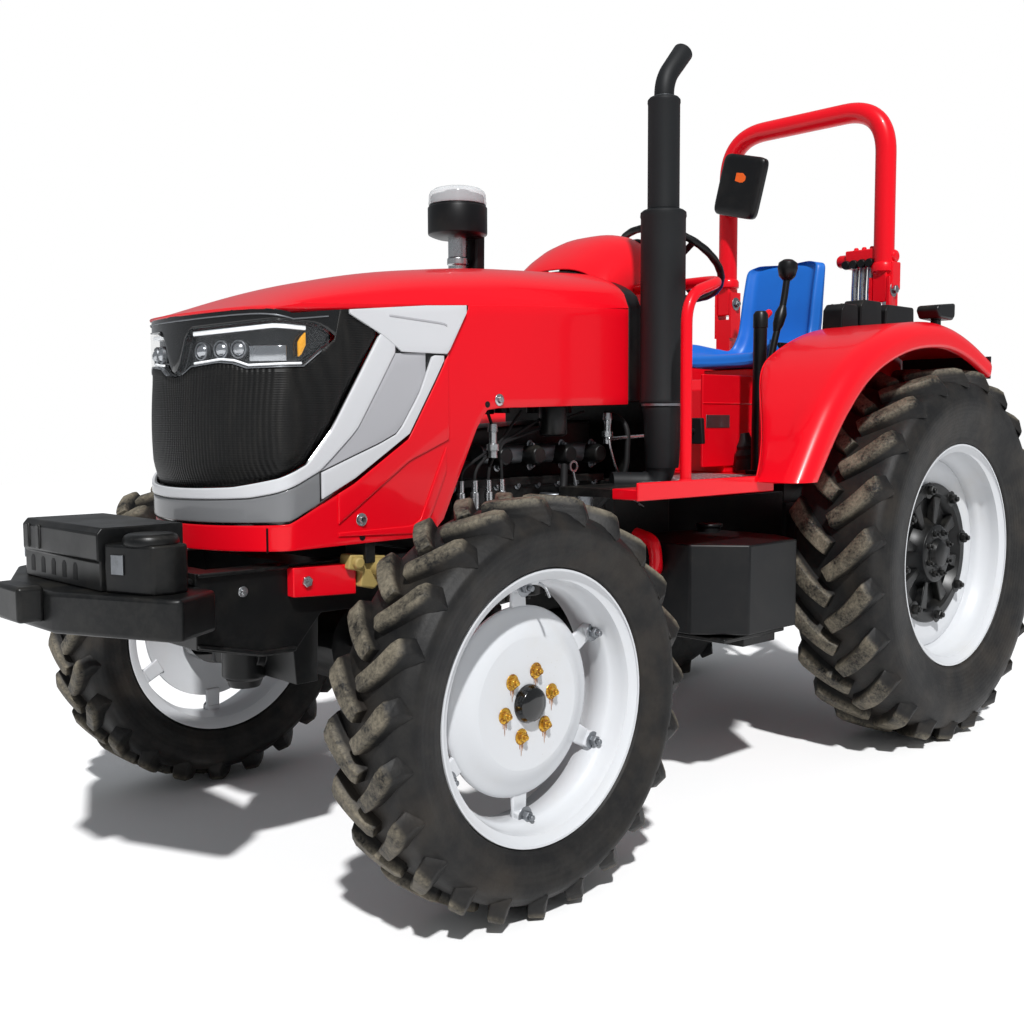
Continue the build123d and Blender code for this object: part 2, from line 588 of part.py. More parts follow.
with BuildPart() as dash_cowl:
    for x, z_low, z_crown in COWL:
        with BuildSketch(Plane(origin=(x, 0, 0), x_dir=(0, 1, 0), z_dir=(1, 0, 0))):
            with BuildLine():
                ThreePointArc((-COWL_HALF_W, z_crown - 130), (0, z_crown), (COWL_HALF_W, z_crown - 130))
                Polyline((COWL_HALF_W, z_crown - 130), (COWL_HALF_W, z_low), (-COWL_HALF_W, z_low),
                         (-COWL_HALF_W, z_crown - 130))
            make_face()
    loft(ruled=True)
    add(block((FIREWALL_X, -330, FLOOR_TOP + SEAT_GAP), (FIREWALL_X + 20, 330, 1560)))
    with BuildSketch(Plane(origin=(150, 0, 0), x_dir=(0, 1, 0), z_dir=(1, 0, 0))):
        with BuildLine():
            half = flank_y(HOOD_REAR_X + 8) - HOOD_SKIN - SEAT_GAP
            z_seam, z_crown = SEAM[0][1] - 2, SEAM[0][2]
            ThreePointArc((-half, z_seam), (0, z_crown - HOOD_SKIN - 3), (half, z_seam))
            Polyline((half, z_seam), (half, 1236), (-half, 1236), (-half, z_seam))
        make_face()
    extrude(amount=HOOD_REAR_X + 8 - 150)
keep(dash_cowl.part, "dash_cowl")

WHEEL_CENTRE = Vector(-490, 0, 1750)
WHEEL_TILT = 35.0
WHEEL_AXIS = Vector(-sin(radians(WHEEL_TILT)), 0, cos(radians(WHEEL_TILT)))
WHEEL_R = 210.0

with BuildPart() as steering_column:
    add(plate([(-90 - SEAT_GAP, 1785), (-150, 1775), (-250, 1560), (-215, 1240), (-90 - SEAT_GAP, 1240)],
              -190, 190))
    add(plate([(-90 - SEAT_GAP, 1240), (-215, 1240), (-190, FLOOR_TOP + SEAT_GAP),
               (-90 - SEAT_GAP, FLOOR_TOP + SEAT_GAP)], -120, 120))
    add(drum(tuple(WHEEL_CENTRE - WHEEL_AXIS * 420), tuple(WHEEL_CENTRE - WHEEL_AXIS * (40 + PIVOT_GAP)), 30))
keep(steering_column.part, "steering_column")

with BuildPart() as steering_wheel:
    with BuildSketch(Plane(origin=WHEEL_CENTRE - WHEEL_AXIS * 13, x_dir=(0, 1, 0), z_dir=WHEEL_AXIS)):
        RegularPolygon(WHEEL_R, 24)
        RegularPolygon(WHEEL_R - 27, 24, mode=Mode.SUBTRACT)
    extrude(amount=26)
    with BuildSketch(Plane(origin=WHEEL_CENTRE - WHEEL_AXIS * 40, x_dir=(0, 1, 0), z_dir=WHEEL_AXIS)):
        RegularPolygon(42, 16)
    extrude(amount=40)
    with BuildSketch(Plane(origin=WHEEL_CENTRE - WHEEL_AXIS * 12, x_dir=(0, 1, 0), z_dir=WHEEL_AXIS)):
        with PolarLocations(0, 3, start_angle=90):
            with Locations((WHEEL_R / 2, 0)):
                Rectangle(WHEEL_R - 20, 24)
    extrude(amount=8)
keep(steering_wheel.part, "steering_wheel")

# ---- platform and what stands on it ------------------------------------------------------------------------
FLOOR_T = 20.0
PLATFORM_FRONT_X = 470.0
PLATFORM_REAR_X = -800.0
FENDER_FRONT_X = -80.0
with BuildPart() as platform:
    half = [(PLATFORM_FRONT_X, 345), (PLATFORM_FRONT_X, FLOOR_Y), (FENDER_FRONT_X + SEAT_GAP, FLOOR_Y),
            (FENDER_FRONT_X + SEAT_GAP, FENDER_IN_Y - SEAT_GAP), (PLATFORM_REAR_X, FENDER_IN_Y - SEAT_GAP)]
    notch = [(FIREWALL_X + 20, 345)]
    outline = notch + half
    add(slab(outline + [(x, -y) for x, y in reversed(outline)], FLOOR_TOP - FLOOR_T, FLOOR_TOP))
    for x in (50, -160):
        for y in (-190, 190):
            add(bar((x, y, CLUTCH_TOP_Z + SEAT_GAP), (x, y, FLOOR_TOP - FLOOR_T), 30))
keep(platform.part, "platform")

with BuildPart() as step_plates:
    one = slab([(185, FLOOR_Y - 12), (FENDER_FRONT_X + 12, FLOOR_Y - 12),
                (FENDER_FRONT_X + 12, FENDER_IN_Y - 12), (-420, FENDER_IN_Y - 12), (-420, 215), (10, 215),
                (10, 345), (185, 345)], FLOOR_TOP + SEAT_GAP, FLOOR_TOP + SEAT_GAP + 4)
    add(one)
    add(mirrored(one))
keep(step_plates.part, "step_plates")

TANK_LOW, TANK_HIGH = 522.0, 800.0
tank = slab([(CLUTCH_X, CLUTCH_HALF_W + SEAT_GAP), (CLUTCH_X, 520), (-10, 640), (-130, 700), (-350, 700),
             (-350, 300), (-215, CLUTCH_HALF_W + SEAT_GAP)], TANK_LOW, TANK_HIGH)
keep(tank, "fuel_tank")
battery = slab([(CLUTCH_X - 20, -CLUTCH_HALF_W - SEAT_GAP), (CLUTCH_X - 20, -560), (-190, -560),
                (-190, -CLUTCH_HALF_W - SEAT_GAP)], 570, 800)
keep(battery, "battery_box")

FENDER_LIP = 80.0
# side profile of the fender's top, front to rear: straight flank, then two arcs
FENDER_RISE = REAR_TYRE_R - 682.0        # a larger tyre lifts the fender with it
FENDER_TOP = [(FENDER_FRONT_X, 965)] + [(x, z + 2 * FENDER_RISE) for x, z in (
    (-290, 1262), (-560, 1440), (-950, 1518), (-1180, 1491), (-1400, 1415))]


def fender_edge(depth):
    """The fender's side profile, moved towards the rear axle by depth."""
    moved = []
    for x, z in FENDER_TOP:
        reach = hypot(x - REAR_AXLE_X, z - REAR_TYRE_R)
        moved.append((x + (REAR_AXLE_X - x) * depth / reach, z + (REAR_TYRE_R - z) * depth / reach))
    return moved


def fender_band(depth, y_low, y_high):
    """A band along the fender's side profile, of a given depth, across from y_low to y_high."""
    top, under = fender_edge(0), fender_edge(depth)
    with BuildPart() as piece:
        with BuildSketch(Plane.XZ.offset(-y_high)):
            with BuildLine():
                for edge in (top, under):
                    Line(edge[0], edge[1])
                    ThreePointArc(edge[1], edge[2], edge[3])
                    ThreePointArc(edge[3], edge[4], edge[5])
                Line(top[0], under[0])
                Line(top[5], under[5])
            make_face()
        extrude(amount=y_high - y_low)
    return piece.part


def fender_fill(depth, y_low, y_high):
    """The space under the fender's profile, across from y_low to y_high."""
    edge = fender_edge(depth)
    with BuildPart() as piece:
        with BuildSketch(Plane.XZ.offset(-y_high)):
            with BuildLine():
                Line(edge[0], edge[1])
                ThreePointArc(edge[1], edge[2], edge[3])
                ThreePointArc(edge[3], edge[4], edge[5])
                Polyline(edge[5], (-1300, 1150), (-800, 965), edge[0])
            make_face()
        extrude(amount=y_high - y_low)
    return piece.part


with BuildPart() as fender:
    add(fender_band(FENDER_SKIN, FENDER_IN_Y, FENDER_OUT_Y))
    add(fender_band(FENDER_LIP, FENDER_OUT_Y - FENDER_SKIN, FENDER_OUT_Y))
    add(fender_fill(1, FENDER_IN_Y, FENDER_IN_Y + FENDER_SKIN))
with BuildPart() as fenders:
    add(fender.part)
    add(mirrored(fender.part))
keep(fenders.part, "fenders")

fender_z = FENDER_TOP[3][1]              # the fender's highest point
with BuildPart() as fender_consoles:
    for x, length, height in ((-825, 150, 90), (-1000, 170, 112), (-1225, 230, 108)):
        add(block((x - length / 2, FENDER_IN_Y - 4, fender_z - 118),
                  (x + length / 2, FENDER_IN_Y + 76, fender_z - 18 + height), 12))
    add(fender_fill(-SEAT_GAP, 300, 900), mode=Mode.SUBTRACT)
keep(fender_consoles.part, "fender_consoles")

SEAT_BASE_Z = 1376.0
with BuildPart() as seat:
    add(plate([(-800, SEAT_BASE_Z), (-790, 1432), (-830, 1452), (-1140, 1438), (-1270, 1470), (-1270, 1400),
               (-1180, SEAT_BASE_Z)], -215, 215))
    add(plate([(-1150, 1430), (-1195, 1500), (-1235, 1820), (-1272, 1820), (-1270, 1420)], -190, 190))
keep(seat.part, "seat")

with BuildPart() as seat_pedestal:
    add(plate([(-560, FLOOR_TOP + SEAT_GAP), (-580, 1290), (-620, 1330), (-1030, 1330),
               (-1030, FLOOR_TOP + SEAT_GAP)], -200, 200))
    add(plate([(-860, 1320), (-860, SEAT_BASE_Z - SEAT_GAP), (-1150, SEAT_BASE_Z - SEAT_GAP), (-1150, 1350),
               (-1030, 1320)], -120, 120))
keep(seat_pedestal.part, "seat_pedestal")

with BuildPart() as controls:
    add(tube([(-520, 260, FLOOR_TOP + SEAT_GAP), (-520, 260, 1300), (-600, 270, 1600)], 12, 40,
             sides=8))
    add(bar((-606, 271, 1590), (-622, 273, 1650), 24))
    add(tube([(-700, 200 + SEAT_GAP, 1200), (-700, 265, 1200), (-760, 270, 1560)], 9, 20, sides=8))
    add(bar((-757, 269, 1550), (-770, 271, 1590), 18))
    for y in (-250, 160, 250):
        add(block((-326, y - 35, 1100), (-305, y + 35, 1180)))
        side = 1 if y > 0 else -1
        add(tube([(-310 - SEAT_GAP, y, 1140), (-160, y, 1140), (-160, side * (120 + SEAT_GAP), 1140)], 9,
                 sides=8))
keep(controls.part, "controls")

RAIL_R = 17.0
with BuildPart() as handrails:
    one = tube([(205, 615, FLOOR_TOP + SEAT_GAP), (205, 615, 1540), (0, 600, 1600),
                (0, COWL_HALF_W + SEAT_GAP, 1600)], RAIL_R, 45, sides=10)
    add(one)
    add(mirrored(one))
keep(handrails.part, "handrails")

# ---- rollbar ------------------------------------------------------------------------------------------------
POST = 70.0
EAR_GAP = 2.0
with BuildPart() as post:
    x_low, x_high = ROLLBAR_X - POST / 2, ROLLBAR_X + POST / 2
    foot = REAR_TYRE_R + REAR_HALF_SHAFT_R + SEAT_GAP
    add(block((x_low, ROLLBAR_Y - POST / 2, foot), (x_high, ROLLBAR_Y + POST / 2, ROLLBAR_PIVOT_Z - 70)))
    add(block((x_low, ROLLBAR_Y - POST / 2, foot), (REAR_AXLE_X + 90, ROLLBAR_Y + POST / 2, foot + 26)))
    for side in (-1, 1):
        low, high = sorted((ROLLBAR_Y + side * (30 + EAR_GAP), ROLLBAR_Y + side * (42 + EAR_GAP)))
        add(block((x_low, low, ROLLBAR_PIVOT_Z - 150), (x_high, high, ROLLBAR_PIVOT_Z + 50)))
    with Locations(Plane(origin=(ROLLBAR_X, ROLLBAR_Y, ROLLBAR_PIVOT_Z), z_dir=(0, 1, 0))):
        Cylinder(12, 100)
with BuildPart() as rollbar_base:
    add(post.part)
    add(mirrored(post.part))
keep(rollbar_base.part, "rollbar_base")

with BuildPart() as rollbar_hoop:
    crown_z = ROLLBAR_TOP - ROLLBAR_TUBE_R
    foot_z = ROLLBAR_PIVOT_Z + 68
    add(tube([(ROLLBAR_X, -ROLLBAR_Y, foot_z), (ROLLBAR_X, -ROLLBAR_Y, crown_z),
              (ROLLBAR_X, ROLLBAR_Y, crown_z), (ROLLBAR_X, ROLLBAR_Y, foot_z)],
             ROLLBAR_TUBE_R, ROLLBAR_BEND, sides=16))
    for side in (-1, 1):
        add(block((ROLLBAR_X - 33, side * ROLLBAR_Y - 30, ROLLBAR_PIVOT_Z - 50),
                  (ROLLBAR_X + 33, side * ROLLBAR_Y + 30, ROLLBAR_PIVOT_Z + 75)))
        with Locations(Plane(origin=(ROLLBAR_X, side * ROLLBAR_Y, ROLLBAR_PIVOT_Z), z_dir=(0, 1, 0))):
            Cylinder(12 + SEAT_GAP, 100, mode=Mode.SUBTRACT)
keep(rollbar_hoop.part, "rollbar_hoop")

with BuildPart() as mirror_box:
    tube_face = ROLLBAR_X + ROLLBAR_TUBE_R + SEAT_GAP
    top = ROLLBAR_TOP - 100
    # the head leans inwards from the leg that carries it
    head = block((tube_face + 10, -110, -130), (tube_face + 55, 110, 130), 12)
    add(head.rotate(Axis.X, -15).moved(Location((0, 115 - ROLLBAR_Y, top - 170))))
    add(block((tube_face, -ROLLBAR_Y - 24, top - 230), (tube_face + 12, -ROLLBAR_Y + 24, top - 170)))
keep(mirror_box.part, "mirror")

LAMP_Y = FENDER_OUT_Y - 70
with BuildPart() as tail_lamps:
    for side in (-1, 1):
        add(block((-1135, side * LAMP_Y - 42, fender_z + 12), (-1000, side * LAMP_Y + 42, fender_z + 74), 14))
        add(block((-1090, side * LAMP_Y - 12, fender_z - 68), (-1050, side * LAMP_Y + 12, fender_z + 16)))
    add(fender_fill(-SEAT_GAP, -900, 900), mode=Mode.SUBTRACT)
keep(tail_lamps.part, "tail_lamps")

# ---- rear: hitch, drawbar, power take-off, valves --------------------------------------------------------------
with BuildPart() as remote_valve:
    inner = ROLLBAR_Y - 42 - EAR_GAP - SEAT_GAP
    add(block((ROLLBAR_X - 25, inner - 110, 1450), (ROLLBAR_X + 30, inner, 1580), 8))
    add(block((ROLLBAR_X - 20, inner - 10, 1480), (ROLLBAR_X + 20, ROLLBAR_Y - POST / 2 - SEAT_GAP, 1520)))
    for y in (inner - 92, inner - 62, inner - 32):
        add(bar((ROLLBAR_X, y, 1580), (ROLLBAR_X - 15, y, 1760), 7, sides=8))
        add(bar((ROLLBAR_X - 25, y, 1510), (ROLLBAR_X - 65, y, 1510), 12))
keep(remote_valve.part, "remote_valve")

DRAWBAR_T = 30.0
with BuildPart() as drawbar:
    add(block((-1700, -38, 400), (-1000, 38, 400 + DRAWBAR_T)))
    with Locations((-1660, 0, 415)):
        Cylinder(16, 80, mode=Mode.SUBTRACT)
    add(block((-1330, -90, 380), (-1290, 90, 500 - SEAT_GAP)))
    add(block((-1020, -90, 400), (-980, 90, 500 - SEAT_GAP)))
keep(drawbar.part, "drawbar")

with BuildPart() as pto_shaft:
    add(bar((-1330 - SEAT_GAP, 0, 600), (-1345, 0, 600), 60))
    add(drum((-1345, 0, 600), (-1420, 0, 600), 17.5))
keep(pto_shaft.part, "pto_shaft")

BALL_EYE_R = 14.35
LINK_R = 21.0
LINK_EYE_IN = 26.0       # the bar ends in the eye's ring, short of its hole
with BuildPart() as link:
    hinge = Vector(HITCH_PIVOT[0], LINK_Y_FRONT, HITCH_PIVOT[1])
    eye = Vector(HITCH_EYE[0], LINK_Y_REAR, HITCH_EYE[1])
    knee = hinge + Vector(-150, 8, 0)
    add(tube([hinge, knee, eye + (knee - eye).normalized() * LINK_EYE_IN], LINK_R, sides=8))
    with Locations(Plane(origin=hinge, z_dir=(0, 1, 0))):
        Cylinder(32, 40)
        Cylinder(14 + SEAT_GAP, 80, mode=Mode.SUBTRACT)
    with Locations(Plane(origin=eye, z_dir=(0, 1, 0))):
        Cylinder(36, 45)
        Cylinder(BALL_EYE_R, 80, mode=Mode.SUBTRACT)
with BuildPart() as lower_links:
    add(link.part)
    add(mirrored(link.part))
keep(lower_links.part, "lower_links")

ARM_TIP = (-1560.0, 985.0)
ROD_FOOT_SHARE = 0.55
with BuildPart() as lift_arms:
    for side in (-1, 1):
        low, high = sorted((side * (180 + PIVOT_GAP), side * 215))
        add(plate([(LIFT_SHAFT[0] + 50, LIFT_SHAFT[1] - 50), (LIFT_SHAFT[0] + 50, LIFT_SHAFT[1] + 50),
                   (LIFT_SHAFT[0] - 60, LIFT_SHAFT[1] + 55), (ARM_TIP[0] - 28, ARM_TIP[1] + 26),
                   (ARM_TIP[0] - 28, ARM_TIP[1] - 26), (LIFT_SHAFT[0] - 30, LIFT_SHAFT[1] - 55)],
                  low, high))
keep(lift_arms.part, "lift_arms")

ROD_THICK = 13.0
with BuildPart() as lift_rods:
    for side in (-1, 1):
        foot = Vector(HITCH_PIVOT[0] + (HITCH_EYE[0] - HITCH_PIVOT[0]) * ROD_FOOT_SHARE,
                      LINK_Y_FRONT + (LINK_Y_REAR - LINK_Y_FRONT) * ROD_FOOT_SHARE + LINK_R + 16,
                      HITCH_PIVOT[1] + (HITCH_EYE[1] - HITCH_PIVOT[1]) * ROD_FOOT_SHARE)
        top = Vector(ARM_TIP[0], 215 + PIVOT_GAP + 15, ARM_TIP[1])
        top, foot = [Vector(p.X, side * p.Y, p.Z) for p in (top, foot)]
        add(bar(top, foot, ROD_THICK, sides=8))
        for place, width in ((top, 30), (foot, 2 * ROD_THICK)):
            with Locations(Plane(origin=place, z_dir=(0, 1, 0))):
                Cylinder(26, width)
keep(lift_rods.part, "lift_rods")
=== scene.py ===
"""Looks of an open-station four-wheel-drive farm tractor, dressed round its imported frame.

Metres, +X forward, +Y to the tractor's left, +Z up, as in the frame. Outlines are (x, z) in side view.
"""

import json
import logging
from collections.abc import Callable, Sequence
from dataclasses import dataclass, field
from enum import Enum
from math import atan2, copysign, cos, dist, exp, hypot, pi, radians, sin, sqrt
from typing import Any

import bmesh
import bpy
from mathutils import Matrix, Vector


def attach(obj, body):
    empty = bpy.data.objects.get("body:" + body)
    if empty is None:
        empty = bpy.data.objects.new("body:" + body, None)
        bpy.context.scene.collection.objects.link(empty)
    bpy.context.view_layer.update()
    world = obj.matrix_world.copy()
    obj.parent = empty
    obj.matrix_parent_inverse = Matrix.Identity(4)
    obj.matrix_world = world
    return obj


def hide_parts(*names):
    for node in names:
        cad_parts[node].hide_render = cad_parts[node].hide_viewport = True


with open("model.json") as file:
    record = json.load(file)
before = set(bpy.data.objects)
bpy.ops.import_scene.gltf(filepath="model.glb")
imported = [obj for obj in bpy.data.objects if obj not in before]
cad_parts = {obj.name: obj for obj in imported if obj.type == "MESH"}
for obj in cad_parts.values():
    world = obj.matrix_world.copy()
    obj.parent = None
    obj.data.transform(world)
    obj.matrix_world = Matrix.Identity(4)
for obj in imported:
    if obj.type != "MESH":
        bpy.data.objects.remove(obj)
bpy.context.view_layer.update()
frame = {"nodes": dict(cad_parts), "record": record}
log = logging.getLogger("tractor")

Pair = tuple[float, float]
Outline = Sequence[Pair]
Colour = tuple[float, float, float]
UP = Vector((0, 0, 1))
LEFT = Vector((0, 1, 0))
AHEAD = Vector((1, 0, 0))
STEERING_HEART = Vector((-0.49, 0, 1.75))
STEERING_LEAN = radians(35)
STEERING_AXIS = Vector((-sin(STEERING_LEAN), 0, cos(STEERING_LEAN)))
DECK = 0.9855  # just above the platform's top
BEYOND = 9.0  # past every place and every height
SEAM_GAP = 0.003  # from the seam down to the fixed sides
ARCH = 2.3  # the power that squares the hood's arch
PRESSED: dict[str, float] = {"bevel": 0.003, "steps": 3, "sharp": 45}  # the trim's edges


@dataclass(frozen=True)
class WheelSize:
    """Where an axle's wheels stand and how large their tyres and rims are."""

    x: float
    y: float
    radius: float
    width: float
    rim: float
    rim_width: float
    lug: float

    def centre(self, side: "Side") -> Vector:
        """The middle of the wheel on one side."""
        return Vector((self.x, self.y * side.value, self.radius))


FRONT = WheelSize(x=1.01, y=0.745, radius=0.502, width=0.25, rim=0.33, rim_width=0.191, lug=0.032)
REAR = WheelSize(x=-1.157, y=0.667, radius=0.682, width=0.36, rim=0.406, rim_width=0.29, lug=0.038)


def tint(code: str) -> Colour:
    """A display colour such as "c81020" as the linear colour that shaders take.

    Args:
        code: six hexadecimal digits, red, green and blue.

    Returns:
        The three linear channels.
    """
    channels = [int(code[i:i + 2], 16) / 255 for i in (0, 2, 4)]
    return tuple(c / 12.92 if c <= 0.04045 else ((c + 0.055) / 1.055) ** 2.4 for c in channels)


# ---- shader kit ----


class Signal:
    """A shader socket that takes part in sums, so that 1 - mask builds its own nodes."""

    def __init__(self, nodes: "Nodes", socket: bpy.types.NodeSocket) -> None:
        """Wraps one output socket of a material's tree."""
        self.nodes = nodes
        self.socket = socket

    def _sum(self, operation: str, first: Any, second: Any = 0.0, clamp: bool = False) -> "Signal":
        """One Math node over two values."""
        return self.nodes.add("ShaderNodeMath", {"operation": operation, "use_clamp": clamp},
            {0: first, 1: second})

    def __add__(self, other: Any) -> "Signal":
        """self + other."""
        return self._sum("ADD", self, other)

    __radd__ = __add__

    def __sub__(self, other: Any) -> "Signal":
        """self - other."""
        return self._sum("SUBTRACT", self, other)

    def __rsub__(self, other: Any) -> "Signal":
        """other - self."""
        return self._sum("SUBTRACT", other, self)

    def __mul__(self, other: Any) -> "Signal":
        """self * other."""
        return self._sum("MULTIPLY", self, other)

    __rmul__ = __mul__

    def __pow__(self, other: Any) -> "Signal":
        """self to a power."""
        return self._sum("POWER", self, other)

    def __gt__(self, other: Any) -> "Signal":
        """1 where self is above other."""
        return self._sum("GREATER_THAN", self, other)

    def __abs__(self) -> "Signal":
        """The size of self."""
        return self._sum("ABSOLUTE", self)

    def wave(self) -> "Signal":
        """The sine of self."""
        return self._sum("SINE", self)

    def clamped(self) -> "Signal":
        """Self held between 0 and 1."""
        return self._sum("ADD", self, clamp=True)

    def ease(self, low: float, high: float) -> "Signal":
        """0 below low, 1 above high, smooth between them."""
        return self.nodes.add("ShaderNodeMapRange", {"interpolation_type": "SMOOTHSTEP", "clamp": True},
            {0: self, 1: low, 2: high, 3: 0.0, 4: 1.0})


class Nodes:
    """The node tree of one material, round a Principled shader."""

    def __init__(self, name: str) -> None:
        """Makes the material of that name and clears it down to a shader and an output."""
        self.material = bpy.data.materials.new(name)
        self.material.use_nodes = True
        self.tree = self.material.node_tree
        self.tree.nodes.clear()
        self.shader = self.tree.nodes.new("ShaderNodeBsdfPrincipled")
        self.output = self.tree.nodes.new("ShaderNodeOutputMaterial")
        self.tree.links.new(self.shader.outputs[0], self.output.inputs[0])
        self.place = self.add("ShaderNodeTexCoord", output="Object")

    def add(self, kind: str, settings: dict[str, Any] | None = None,
            sockets: dict[int | str, Any] | None = None, output: int | str = 0) -> Signal:
        """Adds any node.

        Args:
            kind: the node's type.
            settings: its properties, set first.
            sockets: values or signals for its inputs, by index or name.
            output: the output that the returned signal reads.

        Returns:
            The chosen output.
        """
        node = self.tree.nodes.new(kind)
        for key, value in (settings or {}).items():
            setattr(node, key, value)
        for key, value in (sockets or {}).items():
            self.feed(node.inputs[key], value)
        return Signal(self, node.outputs[output])

    def feed(self, socket: bpy.types.NodeSocket, value: Any) -> None:
        """Links a signal to an input, or sets a plain value on it."""
        if isinstance(value, Signal):
            self.tree.links.new(value.socket, socket)
        elif socket.type == "RGBA" and len(value) == 3:
            socket.default_value = (*value, 1)
        else:
            socket.default_value = value

    def set(self, **values: Any) -> None:
        """Feeds the Principled shader; Base_Color stands for Base Color."""
        for key, value in values.items():
            self.feed(self.shader.inputs[key.replace("_", " ")], value)

    def axis(self, letter: str) -> Signal:
        """One coordinate of the place, by its letter X, Y or Z."""
        split = self.add("ShaderNodeSeparateXYZ", sockets={0: self.place})
        return Signal(self, split.socket.node.outputs[letter])

    def noise(self, scale: float, detail: float = 3.0, rough: float = 0.5,
            stretch: Colour = (1, 1, 1)) -> Signal:
        """Soft noise of a given scale per metre, optionally stretched along the axes."""
        where = self.place
        if stretch != (1, 1, 1):
            where = self.add("ShaderNodeVectorMath", {"operation": "MULTIPLY"}, {0: where, 1: stretch})
        return self.add("ShaderNodeTexNoise", {"noise_dimensions": "3D"},
            {"Vector": where, "Scale": scale, "Detail": detail, "Roughness": rough})

    def cells(self, scale: float) -> Signal:
        """Distance to the nearest cell point, for specks and pits."""
        return self.add("ShaderNodeTexVoronoi", {"feature": "F1"}, {"Vector": self.place, "Scale": scale})

    def mix(self, share: Any, first: Any, second: Any) -> Signal:
        """Colour first where share is 0 and second where it is 1."""
        return self.add("ShaderNodeMix", {"data_type": "RGBA", "blend_type": "MIX"},
            {0: share, 6: first, 7: second}, output=2)

    def bump(self, height: Any, depth: float, strength: float = 1.0) -> None:
        """Gives the shader a relief of the given depth in metres."""
        self.set(Normal=self.add("ShaderNodeBump", None,
            {"Height": height, "Distance": depth, "Strength": strength}))

    def edges(self) -> Signal:
        """1 on worn outer corners and 0 elsewhere."""
        point = self.add("ShaderNodeNewGeometry", output="Pointiness")
        return point.ease(0.52, 0.6)


# ---- finishes ----


@dataclass(frozen=True)
class Finish:
    """A surface as the maker would order it: a name, a colour, a sheen and its wear."""

    name: str
    colour: Colour
    slot: str
    roughness: float = 0.5
    metallic: float = 0.0
    grain: float = 900.0
    grain_depth: float = 0.00003
    dust: float = 0.0
    dust_colour: Colour = tint("a39a89")
    gloss: float = 0.3

    def material(self) -> bpy.types.Material:
        """The node material of this finish, made once and kept by name."""
        label = f"{self.name}_look"
        if label in bpy.data.materials:
            return bpy.data.materials[label]
        nodes = Nodes(label)
        nodes.set(Specular_IOR_Level=self.gloss)
        self.paint(nodes)
        return nodes.material

    def paint(self, nodes: Nodes) -> None:
        """Lays base colour, sheen, grain and dust on the shader."""
        patches = nodes.noise(3, 4)
        shade = nodes.mix(patches.ease(0.3, 0.7) * 0.5, self.colour, self.darker(0.82))
        self.dusted(nodes, shade, self.roughness + (patches - 0.5) * 0.12, 0.35)
        nodes.set(Metallic=self.metallic)
        nodes.bump(nodes.noise(self.grain, 2), self.grain_depth)

    def darker(self, share: float) -> Colour:
        """The finish's colour with each channel at a share."""
        return tuple(c * share for c in self.colour)

    def dusted(self, nodes: Nodes, shade: Signal, rough: Signal, dull: float) -> None:
        """Sets colour and roughness, with dust over them where the finish has any.

        Args:
            nodes: the material's nodes.
            shade: the clean colour.
            rough: the clean roughness.
            dull: how much rougher full dust is.
        """
        if self.dust:
            film = self.film(nodes)
            shade = nodes.mix(film, shade, self.dust_colour)
            rough = rough + film * dull
        nodes.set(Base_Color=shade, Roughness=rough)

    def film(self, nodes: Nodes) -> Signal:
        """Dust that lies on upward faces and gathers in patches."""
        upward = nodes.add("ShaderNodeSeparateXYZ",
            sockets={0: nodes.add("ShaderNodeNewGeometry", output="Normal")}, output=2)
        cloud = nodes.noise(9, 5, 0.65).ease(0.42, 0.75)
        return (cloud * (0.35 + 0.65 * upward.ease(0.1, 0.9)) * self.dust).clamped()


@dataclass(frozen=True)
class GlossPaint(Finish):
    """Sprayed enamel under a clear coat, with faint orange peel and fine scratches."""

    roughness: float = 0.32
    coat: float = 0.9
    peel: float = 160.0

    def paint(self, nodes: Nodes) -> None:
        """Adds a clear coat, orange peel and hairline scratches to the plain finish."""
        drift = nodes.noise(2.2, 3)
        hair = nodes.noise(60, 2, 0.6, (1, 1, 14)).ease(0.66, 0.72)
        shade = nodes.mix(drift.ease(0.25, 0.75) * 0.35, self.colour, self.darker(0.88))
        self.dusted(nodes, shade, self.roughness + (drift - 0.5) * 0.08 + hair * 0.12, 0.4)
        nodes.set(Coat_Weight=self.coat, Coat_Roughness=0.06)
        nodes.bump(nodes.noise(self.peel, 2), 0.00005)


@dataclass(frozen=True)
class WheelPaint(GlossPaint):
    """Wheel enamel with grime in soft patches and mud specks."""

    def paint(self, nodes: Nodes) -> None:
        """Lays specks and soft grime over the enamel."""
        specks = 1 - nodes.cells(95).ease(0.05, 0.13)
        where = nodes.noise(7, 4, 0.6).ease(0.5, 0.72)
        grime = nodes.noise(4, 5, 0.7).ease(0.5, 0.8)
        shade = nodes.mix(grime * 0.28, self.colour, tint("c3beb4"))
        shade = nodes.mix(specks * where * 0.75, shade, self.dust_colour)
        nodes.set(Base_Color=shade, Roughness=self.roughness + grime * 0.25, Coat_Weight=self.coat,
            Coat_Roughness=0.12)
        nodes.bump(nodes.noise(self.peel, 2), 0.00005)


@dataclass(frozen=True)
class CastMetal(Finish):
    """Painted rough casting, with sand grain, oil stains and bright worn corners."""

    wear: Colour = tint("6e6c68")
    wear_share: float = 0.5

    def paint(self, nodes: Nodes) -> None:
        """Lays stains, dust and bare corners over cast grain."""
        stain = nodes.noise(6, 5, 0.6).ease(0.35, 0.75)
        shade = nodes.mix(stain * 0.6, self.colour, self.darker(0.5))
        chips = nodes.edges() * nodes.noise(55, 4, 0.7).ease(0.42, 0.6) * self.wear_share
        shade = nodes.mix(chips, shade, self.wear)
        self.dusted(nodes, shade, self.roughness + stain * 0.1 - chips * 0.1, 0.3)
        nodes.set(Metallic=self.metallic)
        nodes.bump(nodes.noise(self.grain, 3, 0.6), self.grain_depth)


